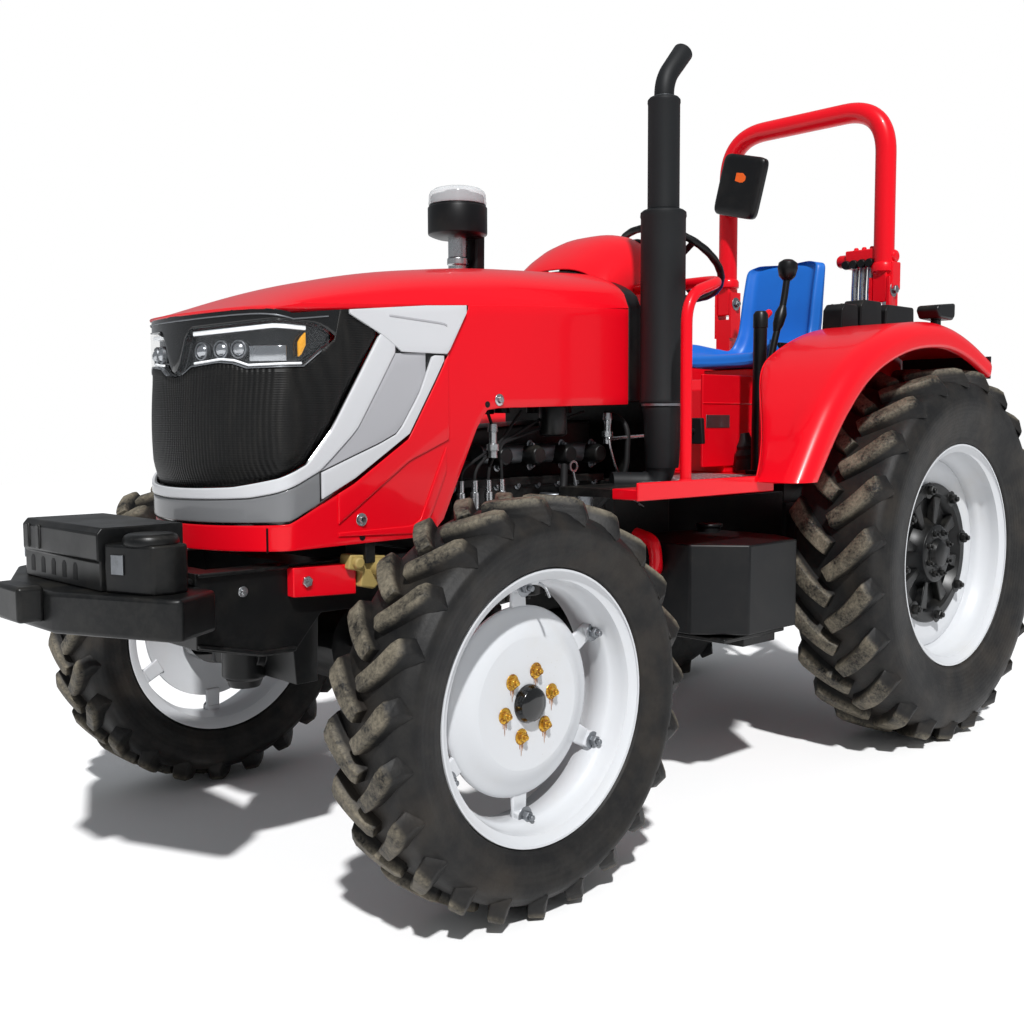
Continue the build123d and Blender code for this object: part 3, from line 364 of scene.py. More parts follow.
@dataclass(frozen=True)
class Tread(Finish):
    """Tyre rubber, dark on the walls and dusty tan on the lugs' tops.

    The dusted band is measured from the wheel's centre, so one class serves both sizes.
    """

    wheel: WheelSize = FRONT

    def paint(self, nodes: Nodes) -> None:
        """Blends wall, groove and dusty crest by distance from the axle."""
        flat = nodes.add("ShaderNodeVectorMath", {"operation": "MULTIPLY"}, {0: nodes.place, 1: (1, 0, 1)})
        from_axle = nodes.add("ShaderNodeVectorMath", {"operation": "DISTANCE"},
            {0: flat, 1: (self.wheel.x, 0, self.wheel.radius)}, output="Value")
        cloud = nodes.noise(14, 6, 0.68)
        streak = nodes.noise(120, 4, 0.7)
        crest, lug = self.wheel.radius, self.wheel.lug
        height = from_axle.ease(crest - lug * 0.75, crest - lug * 0.12)
        dusty = (height * (cloud * 1.9 + streak * 1.3 - 1.25)).clamped()
        wall = nodes.mix(cloud.ease(0.35, 0.7) * 0.55, self.colour, tint("2a2825"))
        ring = (((from_axle * 420.0).wave() * 0.5 + 0.5) * (1 - height)).clamped()
        brown = nodes.noise(5, 4, 0.6).ease(0.45, 0.7) * (1 - height) * 0.35
        shade = nodes.mix(brown, wall, tint("3d352c"))
        shade = nodes.mix(dusty * 0.75, shade, self.dust_colour)
        nodes.set(Base_Color=shade, Roughness=self.roughness + dusty * 0.18 - cloud * 0.12)
        nodes.bump(streak * 0.6 + ring * 0.18 + cloud * 0.5, 0.0011)


@dataclass(frozen=True)
class RibbedMesh(Finish):
    """Black moulded grille cloth: fine upright ribs crossed by a finer weave."""

    rib: float = 0.01

    def paint(self, nodes: Nodes) -> None:
        """Draws the ribs round the nose from the plan position, with painted shade between them."""
        turn = 2 * pi / self.rib
        ribs = ((nodes.axis("Y") + nodes.axis("X") * 0.3) * turn).wave() * 0.5 + 0.5
        weave = (nodes.axis("Z") * (turn * 1.7)).wave() * 0.5 + 0.5
        smear = nodes.noise(26, 5, 0.7, (1, 1, 0.18))
        shade = nodes.mix(smear.ease(0.4, 0.7) * 0.5, self.colour, tint("23211e"))
        # Near-black mixed in between the ribs: painted shade in the grooves, on top of the bump's relief.
        shade = nodes.mix((1 - ribs) * 0.7, shade, tint("020202"))
        nodes.set(Base_Color=shade, Roughness=self.roughness + (smear - 0.5) * 0.2)
        nodes.bump(ribs * 0.8 + weave * 0.25 + smear * 0.3, 0.0014)


@dataclass(frozen=True)
class BrushedMetal(Finish):
    """Machined or plated metal with fine turning marks and light stains."""

    metallic: float = 1.0
    roughness: float = 0.3

    def paint(self, nodes: Nodes) -> None:
        """Lays fine marks and uneven sheen on bare metal."""
        marks = nodes.noise(420, 3, 0.6, (1, 1, 8))
        stain = nodes.noise(22, 4, 0.65).ease(0.45, 0.75)
        shade = nodes.mix(stain * 0.45, self.colour, self.darker(0.55))
        nodes.set(Base_Color=shade, Metallic=self.metallic,
            Roughness=self.roughness + stain * 0.2 + (marks - 0.5) * 0.12)
        nodes.bump(marks, 0.00004)


@dataclass(frozen=True)
class Chequer(Finish):
    """Aluminium tread plate: raised bars in a chequer, polished tops and dirty ground."""

    pitch: float = 0.034

    def paint(self, nodes: Nodes) -> None:
        """Raises bars that turn by a right angle from one square to the next."""
        turn = pi / self.pitch
        rising = nodes.axis("X") + nodes.axis("Y")
        falling = nodes.axis("X") - nodes.axis("Y")
        square = ((rising * (turn * 0.5)).wave() * (falling * (turn * 0.5)).wave()) > 0.0
        first = abs((rising * turn).wave()) ** 2.0 * abs((falling * (turn * 2)).wave()) ** 8.0
        second = abs((falling * turn).wave()) ** 2.0 * abs((rising * (turn * 2)).wave()) ** 8.0
        bars = (first * square + second * (1 - square)).ease(0.25, 0.6)
        dirt = nodes.noise(18, 5, 0.7)
        shade = nodes.mix(bars * 0.75 + dirt * 0.25, tint("8f9092"), self.colour)
        nodes.set(Base_Color=shade, Metallic=0.85, Roughness=self.roughness + dirt * 0.2 - bars * 0.12)
        nodes.bump(bars + dirt * 0.1, 0.0016)


@dataclass(frozen=True)
class Glow(Finish):
    """A lamp's own light, soft behind its lens."""

    strength: float = 1.0

    def paint(self, nodes: Nodes) -> None:
        """Gives a lit lens with a faint cell pattern."""
        pattern = nodes.noise(180, 2).ease(0.35, 0.65)
        shade = nodes.mix(pattern * 0.25, self.colour, self.darker(0.7))
        nodes.set(Base_Color=shade, Roughness=self.roughness, Emission_Color=shade,
            Emission_Strength=self.strength)
        nodes.bump(pattern, 0.0002)


@dataclass(frozen=True)
class Clear(Finish):
    """Clear moulded cover over a lamp or a bowl."""

    alpha: float = 0.22

    def paint(self, nodes: Nodes) -> None:
        """Makes a thin glossy cover that shows what is under it."""
        haze = nodes.noise(8, 3)
        nodes.set(Base_Color=nodes.mix(haze * 0.4, self.colour, tint("d8dcde")),
            Roughness=self.roughness + haze * 0.04, Alpha=self.alpha + haze * 0.06, IOR=1.5)
        nodes.bump(nodes.noise(40, 2), 0.0001)


@dataclass(frozen=True)
class DrippedBrass(Finish):
    """Yellow-passivated fixings, gone brown in patches."""

    def paint(self, nodes: Nodes) -> None:
        """Mixes bright plating with rust."""
        rust = nodes.noise(130, 4, 0.7).ease(0.45, 0.62)
        shade = nodes.mix(rust, self.colour, tint("7a4a1c"))
        nodes.set(Base_Color=shade, Metallic=0.9 - rust * 0.8, Roughness=self.roughness + rust * 0.4)
        nodes.bump(nodes.noise(700, 3), 0.00012)


RED = GlossPaint("red_enamel", tint("e4081c"), "red_paint", roughness=0.3, coat=0.3, gloss=0.2)
WHITE = WheelPaint("white_enamel", tint("c8cacd"), "white_paint", roughness=0.42, coat=0.3)
SILVER = GlossPaint("silver_trim_enamel", tint("cfd0d3"), "silver_trim", roughness=0.3, coat=0.3)
GREY_PANEL = GlossPaint("grey_inset_enamel", tint("acacb0"), "silver_trim", roughness=0.45, coat=0.3)
GREY_BAND = GlossPaint("grey_band_enamel", tint("77787a"), "silver_trim", roughness=0.4,
    coat=0.4, metallic=0.3)
BLACK_IRON = CastMetal("black_iron", tint("0c0d0e"), "black_iron", roughness=0.33, grain=260.0,
    grain_depth=0.00012, dust=0.05, wear_share=0.07)
ENGINE_IRON = CastMetal("engine_iron", tint("0b0c0d"), "engine_iron", roughness=0.3, grain=300.0,
    grain_depth=0.0003, dust=0.06, wear_share=0.08)
STEEL = BrushedMetal("bright_steel", tint("c4c6c8"), "bright_steel", roughness=0.26)
DULL_STEEL = BrushedMetal("dull_steel", tint("8d9094"), "bright_steel", roughness=0.42)
EXHAUST = CastMetal("exhaust_black", tint("17191b"), "exhaust_black", roughness=0.5, grain=700.0,
    grain_depth=0.0001, wear=tint("4a4743"), wear_share=0.1)
MOULDED = Finish("moulded_black", tint("0c0d0f"), "moulded_black", roughness=0.36, grain=1100.0,
    grain_depth=0.00006, dust=0.05)
GLOSS_BLACK = GlossPaint("gloss_black", tint("0c0d0e"), "silver_trim", roughness=0.2, coat=0.8)
MESH = RibbedMesh("grille_mesh", tint("0a0a0a"), "grille_mesh", roughness=0.5)
TANK = Finish("tank_plastic", tint("0d0e10"), "tank_plastic", roughness=0.42, grain=500.0,
    grain_depth=0.0001, dust=0.04)
PLATE = Chequer("tread_plate", tint("c8cacd"), "tread_plate", roughness=0.34)
SEAT_BLUE = Finish("seat_blue", tint("1c6bc8"), "seat_blue", roughness=0.38, grain=600.0, grain_depth=0.00012)
BRASS = DrippedBrass("passivated_brass", tint("d1a441"), "bright_steel", roughness=0.3)
TAN_PAINT = CastMetal("tan_casting", tint("b09a5e"), "black_iron", roughness=0.5, grain=400.0,
    grain_depth=0.0002, wear_share=0.1)
LED = Glow("lamp_outline", tint("f6f8fa"), "lamp_glass", roughness=0.3, strength=0.35)
AMBER = Glow("amber_lens", tint("eda521"), "lamp_glass", roughness=0.2, strength=0.2)
RED_LENS = Glow("red_lens", tint("b3141a"), "lamp_glass", roughness=0.2, strength=0.05)
RUST = Finish("rust_runs", tint("b9742a"), "white_paint", roughness=0.7)
ORANGE = Finish("orange_mark", tint("f0651f"), "moulded_black", roughness=0.4)
REFLECTOR = BrushedMetal("lamp_reflector", tint("c9ccd0"), "lamp_glass", roughness=0.16)
LAMP_CLEAR = Clear("lamp_cover", tint("5c6064"), "lamp_glass", roughness=0.05, alpha=0.08)
BOWL_CLEAR = Clear("bowl_cover", tint("dfe3e6"), "moulded_black", roughness=0.12, alpha=0.45)
RUBBER = Finish("plain_rubber", tint("161617"), "moulded_black", roughness=0.6, grain=800.0,
    grain_depth=0.00008)
FRONT_TREAD = Tread("tyre_rubber_front", tint("0f0f10"), "tyre_rubber", roughness=0.62,
    dust_colour=tint("9c927e"), wheel=FRONT)
REAR_TREAD = Tread("tyre_rubber_rear", tint("0f0f10"), "tyre_rubber", roughness=0.62,
    dust_colour=tint("9c927e"), wheel=REAR)

SLOT_FINISH: dict[str, Finish] = {"engine_steel": DULL_STEEL,
    **{finish.slot: finish for finish in (RED, WHITE, BLACK_IRON, ENGINE_IRON, STEEL, EXHAUST, MOULDED, MESH,
    SILVER, REFLECTOR, PLATE, TANK, SEAT_BLUE, REAR_TREAD)}}


# ---- mesh kit ----


def linked(name: str, data: bpy.types.ID) -> bpy.types.Object:
    """A new object of the scene with a mesh, lamp or camera in it."""
    thing = bpy.data.objects.new(name, data)
    bpy.context.scene.collection.objects.link(thing)
    return thing


def circle(steps: int) -> list[float]:
    """The turns of an even walk round a circle."""
    return [2 * pi * k / steps for k in range(steps)]


class Form:
    """A mesh under construction in the row frame."""

    def __init__(self) -> None:
        """Starts with nothing in it."""
        self.bm = bmesh.new()

    def skin(self, rows: Sequence[Sequence[Vector]], around: bool = False, ends: bool = False) -> "Form":
        """Joins rows of points by quads.

        Args:
            rows: equally long rows of points.
            around: the last point of each row joins the first.
            ends: the first and last rows are closed by a face.

        Returns:
            This form.
        """
        made = [[self.bm.verts.new(p) for p in row] for row in rows]
        count = len(made[0])
        for low, high in zip(made, made[1:]):
            for i in range(count if around else count - 1):
                j = (i + 1) % count
                self.bm.faces.new((low[i], low[j], high[j], high[i]))
        if ends:
            self.bm.faces.new(made[0][::-1])
            self.bm.faces.new(made[-1])
        return self

    def revolve(self, outline: Outline, centre: Vector, axis: Vector = LEFT, segments: int = 96,
            closed: bool = True) -> "Form":
        """Turns an outline of (along, radius) pairs round an axis.

        Args:
            outline: places along the axis and distances from it.
            centre: a point of the axis, where along is 0.
            axis: the axis' direction.
            segments: how many steps make the turn.
            closed: the outline's end joins its start, as for a ring.

        Returns:
            This form.
        """
        centre, axis = Vector(centre), axis.normalized()
        side = axis.orthogonal().normalized()
        other = axis.cross(side)
        rows = []
        for shift, radius in (*outline, outline[0]) if closed else outline:
            rows.append([centre + axis * shift + (side * cos(a) + other * sin(a)) * radius
                for a in circle(segments)])
        return self.skin(rows, around=True)

    def turned(self, outline: Outline, start: Vector, end: Vector, segments: int = 32) -> "Form":
        """A solid turned between two points; outline holds (share of the way, radius) pairs."""
        start, end = Vector(start), Vector(end)
        length = (end - start).length
        rows = [(0, 0.0005)] + [(share * length, radius) for share, radius in outline]
        rows.append((outline[-1][0] * length, 0.0005))
        return self.revolve(rows, start, end - start, segments, closed=False)

    def rod(self, start: Vector, end: Vector, radius: float, segments: int = 20) -> "Form":
        """A plain round bar with eased ends."""
        start, end = Vector(start), Vector(end)
        ease = min(0.25, 0.2 * radius / max((end - start).length, 1e-6))
        return self.turned([(0, radius * 0.85), (ease, radius), (1 - ease, radius), (1, radius * 0.85)],
            start, end, segments)

    def prism(self, outline: Outline, low: float, high: float, across: Vector = LEFT) -> "Form":
        """A plate cut to an outline and spread along an axis.

        Args:
            outline: (x, z) pairs for a plate across Y, (x, y) for Z and (y, z) for X.
            low: one face's place along the axis.
            high: the other face's place.
            across: the axis, one of LEFT, UP and AHEAD.

        Returns:
            This form.
        """
        spot = 1 if across == LEFT else 2 if across == UP else 0
        return self.skin([[Vector((*pair[:spot], at, *pair[spot:])) for pair in outline] for at in (low,
            high)], around=True, ends=True)

    def block(self, low: Sequence[float], high: Sequence[float]) -> "Form":
        """A block between two corners."""
        (x0, y0, z0), (x1, y1, z1) = low, high
        return self.prism(((x0, z0), (x1, z0), (x1, z1), (x0, z1)), y0, y1)

    def pipe(self, points: Sequence[Vector], radius: float | Callable[[float], float], segments: int = 14,
            ends: bool = True) -> "Form":
        """A round tube along points, without twist.

        Args:
            points: the route.
            radius: its radius, or a function of the share of the way.
            segments: how many steps go round it.
            ends: whether its ends are closed.

        Returns:
            This form.
        """
        size = radius if callable(radius) else (lambda share: radius)
        heading = (points[1] - points[0]).normalized()
        side = heading.orthogonal().normalized()
        rows = []
        for i, point in enumerate(points):
            before, after = points[max(i - 1, 0)], points[min(i + 1, len(points) - 1)]
            heading = (after - before).normalized()
            side = (side - heading * side.dot(heading)).normalized()
            other = heading.cross(side)
            reach = size(i / (len(points) - 1))
            rows.append([point + (side * cos(a) + other * sin(a)) * reach for a in circle(segments)])
        return self.skin(rows, around=True, ends=ends)

    def bolt(self, place: Vector, out: Vector, across: float = 0.016, height: float = 0.008,
            washer: bool = True, stud: float = 0.0) -> "Form":
        """A hexagon head with its washer, and a stud end where stud is above 0."""
        place, out = Vector(place), out.normalized()
        base = place + out * (0.002 if washer else 0.0)
        if washer:
            self.turned([(0, across * 0.95), (0.7, across * 0.95), (1, across * 0.88)], place, base, 20)
        self.turned([(0, across * 0.577), (0.8, across * 0.577), (1, across * 0.5)], base,
            base + out * height, 6)
        if stud:
            self.turned([(0, across * 0.3), (0.85, across * 0.3), (1, across * 0.22)], base + out * height,
                base + out * (height + stud), 12)
        return self

    def both_sides(self) -> "Form":
        """Adds the same thing mirrored to the other side of the tractor."""
        made = bmesh.ops.duplicate(self.bm, geom=self.bm.verts[:] + self.bm.edges[:] + self.bm.faces[:])
        verts = [g for g in made["geom"] if isinstance(g, bmesh.types.BMVert)]
        faces = [g for g in made["geom"] if isinstance(g, bmesh.types.BMFace)]
        for vert in verts:
            vert.co.y = -vert.co.y
        bmesh.ops.reverse_faces(self.bm, faces=faces)
        return self

    def turned_copies(self, count: int, centre: Vector, axis: Vector = LEFT, first: float = 0.0) -> "Form":
        """Repeats all of it evenly round an axis, starting first degrees on."""
        source = self.bm.verts[:] + self.bm.edges[:] + self.bm.faces[:]
        start = Matrix.Rotation(radians(first), 3, axis)
        for i in range(1, count):
            made = bmesh.ops.duplicate(self.bm, geom=source)
            verts = [g for g in made["geom"] if isinstance(g, bmesh.types.BMVert)]
            bmesh.ops.rotate(self.bm, verts=verts, cent=centre,
                matrix=start @ Matrix.Rotation(2 * pi * i / count, 3, axis))
        bmesh.ops.rotate(self.bm, verts=[g for g in source if isinstance(g, bmesh.types.BMVert)],
            cent=centre, matrix=start)
        return self

    def cut_below(self, height: float) -> "Form":
        """Takes away what lies below a height."""
        bmesh.ops.bisect_plane(self.bm, geom=self.bm.verts[:] + self.bm.edges[:] + self.bm.faces[:],
            dist=0.00001, plane_co=UP * height, plane_no=UP, clear_inner=True)
        return self

    def node(self, name: str) -> "Form":
        """Takes the form of a CAD node, its flats joined again."""
        self.bm.from_mesh(frame["nodes"][name].data)
        bmesh.ops.remove_doubles(self.bm, verts=self.bm.verts, dist=0.00002)
        bmesh.ops.dissolve_limit(self.bm, angle_limit=radians(1.5), verts=self.bm.verts, edges=self.bm.edges)
        return self

    def mesh(self, name: str) -> bpy.types.Mesh:
        """Turns the form into a mesh and lets go of it."""
        mesh = bpy.data.meshes.new(name)
        self.bm.to_mesh(mesh)
        self.bm.free()
        return mesh

    def emit(self, name: str, finish: Finish, *nodes: str, body: str = "chassis",
            slot: str = "", bevel: float = 0.0, steps: int = 2, sharp: float = 34.0, shell: float = 0.0,
            smooth: int = 0) -> bpy.types.Object:
        """Makes the piece and puts it on its body.

        Args:
            name: the piece's name.
            finish: what it is finished in.
            nodes: the CAD nodes that it stands for.
            body: the body that it rides on.
            slot: the record's material slot; not used.
            bevel: how far its sharp corners are eased, in metres.
            steps: how many steps make an eased corner.
            sharp: the angle above which a corner is sharp, in degrees.
            shell: the wall that an open surface gets, inwards.
            smooth: levels of subdivision.

        Returns:
            The finished piece.
        """
        bmesh.ops.recalc_face_normals(self.bm, faces=self.bm.faces)
        mesh = self.mesh(name)
        mesh.shade_smooth()
        mesh.set_sharp_from_angle(angle=radians(sharp))
        mesh.materials.append(finish.material())
        piece = linked(name, mesh)
        if shell:
            wall = piece.modifiers.new("wall", "SOLIDIFY")
            wall.thickness, wall.offset, wall.use_even_offset = shell, -1, True
        if smooth:
            soft = piece.modifiers.new("soft", "SUBSURF")
            soft.levels = soft.render_levels = smooth
        if bevel:
            eased = piece.modifiers.new("eased", "BEVEL")
            eased.width, eased.segments, eased.limit_method = bevel, steps, "ANGLE"
            eased.angle_limit, eased.use_clamp_overlap = radians(sharp), True
        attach(piece, body)
        if nodes:
            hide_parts(*nodes)
        log.info("%s rides on %s", name, body)
        return piece


def curve_points(points: Sequence[Vector], steps: int = 8) -> list[Vector]:
    """A smooth route through points (a Catmull-Rom spline).

    Args:
        points: what the route goes through.
        steps: how many stretches lie between two of them.

    Returns:
        The route's points.
    """
    route = [points[0] * 2 - points[1], *points, points[-1] * 2 - points[-2]]
    found = []
    for p0, p1, p2, p3 in zip(route, route[1:], route[2:], route[3:]):
        for k in range(steps):
            t = k / steps
            found.append(0.5 * ((2 * p1) + (p2 - p0) * t + (2 * p0 - 5 * p1 + 4 * p2 - p3) * t * t
                + (3 * p1 - p0 - 3 * p2 + p3) * t ** 3))
    return found + [points[-1]]


def smooth_pairs(pairs: Outline, steps: int) -> list[Pair]:
    """A smooth outline through (along, radius) pairs."""
    return [(p.x, p.y) for p in curve_points([Vector((a, b, 0)) for a, b in pairs], steps)]


def bent(points: Sequence[Sequence[float]], bend: float, steps: int = 8) -> list[Vector]:
    """A route of straight runs with round bends.

    Args:
        points: the runs' corners.
        bend: how far from a corner its bend starts.
        steps: how many stretches make a bend.

    Returns:
        The route's points.
    """
    spots = [Vector(p) for p in points]
    route = [spots[0]]
    for before, corner, after in zip(spots, spots[1:], spots[2:]):
        start = corner + (before - corner).normalized() * bend
        end = corner + (after - corner).normalized() * bend
        for k in range(steps + 1):
            t = k / steps
            route.append(start * (1 - t) ** 2 + corner * (2 * t * (1 - t)) + end * t * t)
    return route + [spots[-1]]


def along(outline: Outline, x: float) -> float:
    """Height of an outline at x, its points in order of rising or falling x."""
    rows = sorted(outline)
    for (x0, z0), (x1, z1) in zip(rows, rows[1:]):
        if x <= x1:
            return z0 + (z1 - z0) * (x - x0) / (x1 - x0) if x1 > x0 else z1
    return rows[-1][1]


def follow(outline: Outline, lift: float = 0.0) -> Callable[[float], float]:
    """The height of an outline as a function of x, lifted by a distance."""
    return lambda x: along(outline, x) + lift


def eased_along(outline: Outline, x: float, span: float = 0.03) -> float:
    """Height of an outline at x with its corners rounded over a span."""
    return sum(along(outline, x + span * k / 4) for k in range(-4, 5)) / 9


# ---- wheels ----


class Side(Enum):
    """A side of the tractor, by the sign of its Y."""

    LEFT = 1
    RIGHT = -1

    @property
    def word(self) -> str:
        """The side's name in the frame's nodes."""
        return self.name.lower()

    @property
    def out(self) -> Vector:
        """The way out from the tractor."""
        return LEFT * self.value


@dataclass
class Tyre:
    """A lugged tractor tyre: bulged walls and two rows of curved bars that meet in a chevron."""

    end: str
    side: Side
    size: WheelSize
    finish: Finish
    lugs: int = 23
    slant: float = 45.0

    def wall(self) -> Outline:
        """The carcass in section, from one bead over the crown to the other."""
        size = self.size
        carcass, half, bead = size.radius - size.lug, size.width / 2, size.rim_width / 2
        rise = carcass - size.rim
        one = [(bead - 0.018, size.rim - 0.01), (bead - 0.004, size.rim + 0.001),
            (bead + 0.004, size.rim + 0.006), (bead + 0.007, size.rim + 0.1 * rise),
            (bead + 0.016, size.rim + 0.24 * rise), (half - 0.006, size.rim + 0.45 * rise),
            (half, size.rim + 0.62 * rise), (half - 0.003, size.rim + 0.74 * rise),
            (half * 0.9, carcass - 0.026), (half * 0.74, carcass - 0.009), (half * 0.4, carcass - 0.002)]
        return [(-y, r) for y, r in one] + [(0, carcass)] + one[::-1]

    def surface(self, lateral: float) -> float:
        """The carcass' radius under the tread at a distance from the middle."""
        size = self.size
        floor = size.rim + 0.6 * (size.radius - size.lug - size.rim)
        rows = [row for row in self.wall() if row[0] >= 0 and row[1] > floor]
        return along(rows, min(abs(lateral), size.width / 2 - 0.001))

    def bar(self) -> list[list[Vector]]:
        """Sections along one bar at the tyre's top, from the middle outwards, about the origin."""
        size = self.size
        thick = size.width * 0.08
        slope = radians(self.slant)
        across = Vector((cos(slope), sin(slope), 0))
        run = size.width / 2 - thick * across.y
        crest = sqrt(size.radius ** 2 - ((run / 2 + thick) * 0.72) ** 2)
        crest = size.radius - (size.radius - crest) * 0.35
        rows = []
        for k in range(11):
            share = k / 10
            lateral = run * 1.035 * share - 0.004
            bow = 0.1 * run * sin(pi * share)
            turn = (run / 2 - lateral + bow) / size.radius
            ground = self.surface(lateral) - 0.012
            fall = max(0, share - 0.86) / 0.14
            top = crest - fall ** 1.5 * size.lug * 1.25 - (0.004 if k == 0 else 0)
            wall = [(1.45, ground), (1.22, (ground + top) / 2), (1, top - 0.003), (0.84, top)]
            section = []
            for offset, height in [*((-offset, height) for offset, height in wall), *wall[::-1]]:
                shift = across * (offset * thick * (1.0 + 0.25 * share))
                angle = turn + shift.x / size.radius
                section.append(Vector((height * sin(angle), lateral + shift.y * 0.6, height * cos(angle))))
            rows.append(section)
        return rows

    def build(self) -> None:
        """Makes the tyre and dresses it."""
        form, bar, centre = Form(), self.bar(), self.size.centre(self.side)
        for row in (1, -1):
            for i in range(self.lugs):
                turn = 2 * pi * (i + (0 if row == 1 else 0.5)) / self.lugs + radians(self.slant / 2)
                spin = Matrix.Rotation(turn, 3, LEFT)
                form.skin([[centre + spin @ Vector((p.x, p.y * row, p.z)) for p in section]
                    for section in bar], around=True, ends=True)
        form.revolve(smooth_pairs(self.wall(), 3), centre, LEFT, 108, closed=False)
        form.emit(f"{self.end}_tyre_{self.side.word}", self.finish, f"tyre_{self.end}_{self.side.word}",
            body=f"wheel_{self.end}_{self.side.word}", slot="tyre_rubber", bevel=0.0022, steps=1, sharp=38)


@dataclass
class FrontWheel:
    """Front wheel: rolled rim, dished disc on six ears, brass nuts and a black cap."""

    side: Side
    centre: Vector
    rim: float = FRONT.rim
    width: float = FRONT.rim_width
    disc: float = 0.232
    face: float = 0.17
    bolt_circle: float = 0.08

    def build(self) -> None:
        """Makes the rim, its fixings and the hub."""
        half, name, out = self.width / 2, self.side.word, self.side.out
        body = f"wheel_front_{name}"
        rim = Form()
        barrel = [(half - 0.001, self.rim - 0.006), (half, self.rim - 0.001), (half - 0.004, self.rim), (half
            - 0.011, self.rim - 0.009), (half - 0.015, self.rim - 0.022), (half - 0.03, self.rim - 0.027),
            (0.04, self.rim - 0.028), (0.032, self.rim - 0.036), (0.022, self.rim - 0.041), (-0.03, self.rim
            - 0.041), (-0.045, self.rim - 0.03), (-half + 0.016, self.rim - 0.028), (-half, self.rim - 0.001)]
        inner = [(y, r - 0.005) for y, r in barrel[::-1]]
        rim.revolve([*barrel[1:], *inner[:-1]], self.centre, out)
        dish = [(-0.013, self.disc), (-0.005, self.disc + 0.001), (0.001, self.disc - 0.006), (0.01, self.face
            + 0.034), (0.021, self.face + 0.012), (0.0275, self.face - 0.006), (0.028, self.face - 0.022),
            (0.027, 0.046), (0.018, 0.046), (0.018, self.face - 0.02), (-0.01, self.disc - 0.012)]
        rim.revolve([dish[0], *smooth_pairs(dish[1:8], 4), *dish[8:]], self.centre, out)
        ears = Form()
        x, y, z = self.centre
        for low, high, near, far, wide in ((-0.014, -0.003, self.disc - 0.02, self.rim - 0.043, 0.026),
                (-0.018, 0.014, self.rim - 0.062, self.rim - 0.036, 0.022)):
            ears.prism(((x + near, z - wide), (x + far, z - wide * 0.86), (x + far, z + wide * 0.86),
                (x + near, z + wide)), y + out.y * low, y + out.y * high)
        ears.turned_copies(6, self.centre, LEFT, 30)
        rim.emit(f"front_rim_{name}", WHITE, f"rim_front_{name}", body=body, sharp=50)
        ears.emit(f"front_rim_ears_{name}", WHITE, body=body, bevel=0.005, steps=3)
        clamps = Form()
        spot = self.centre + AHEAD * (self.rim - 0.052) + out * 0.014
        clamps.bolt(spot, out, 0.024, 0.016, stud=0.012)
        clamps.turned_copies(6, self.centre, LEFT, 30)
        clamps.emit(f"front_rim_clamps_{name}", DULL_STEEL, body=body, bevel=0.001, steps=1)
        nuts = Form()
        nuts.bolt(self.centre + AHEAD * self.bolt_circle + out * 0.0275, out, 0.021, 0.013, stud=0.007)
        nuts.turned_copies(6, self.centre, LEFT, 12)
        nuts.emit(f"front_wheel_nuts_{name}", BRASS, body=body, bevel=0.001, steps=1)
        self.drips(body, name)
        hub = Form()
        hub.turned([(0, 0.047), (0.35, 0.047), (0.5, 0.044), (0.78, 0.04), (0.93, 0.031), (1, 0.014)],
            self.centre + out * 0.02, self.centre + out * 0.056, 48)
        hub.turned([(0, 0.118), (1, 0.118)], self.centre - out * 0.06, self.centre - out * 0.016, 64)
        hub.emit(f"front_hub_cap_{name}", GLOSS_BLACK, f"hub_front_{name}", body=body,
            slot="black_iron", bevel=0.001)
        valve = Form()
        root = self.centre + UP * (self.rim - 0.036) + out * (half - 0.03)
        valve.pipe(bent([root, root + out * 0.02 - UP * 0.008, root + out * 0.034 - UP * 0.03],
            0.008), 0.0035, 10)
        valve.emit(f"front_valve_{name}", STEEL, body=body)

    def drips(self, body: str, name: str) -> None:
        """Thin rust runs below the nuts."""
        runs = Form()
        for k in range(6):
            turn = radians(60 * k + 12)
            way = Vector((cos(turn), 0, -sin(turn)))
            nut = self.centre + self.side.out * 0.0283 + way * self.bolt_circle - UP * 0.01
            for shift, left, right in ((-0.004, 0.0208, 0.026), (0.001, 0.0342, 0.038), (0.006, 0.02, 0.02)):
                top = nut + AHEAD * shift
                runs.skin([[top - AHEAD * 0.0014, top + AHEAD * 0.0014],
                    [top - AHEAD * 0.0009 - UP * left, top + AHEAD * 0.0004 - UP * right]])
        runs.emit(f"front_rust_runs_{name}", RUST, body=body, shell=0.0002)


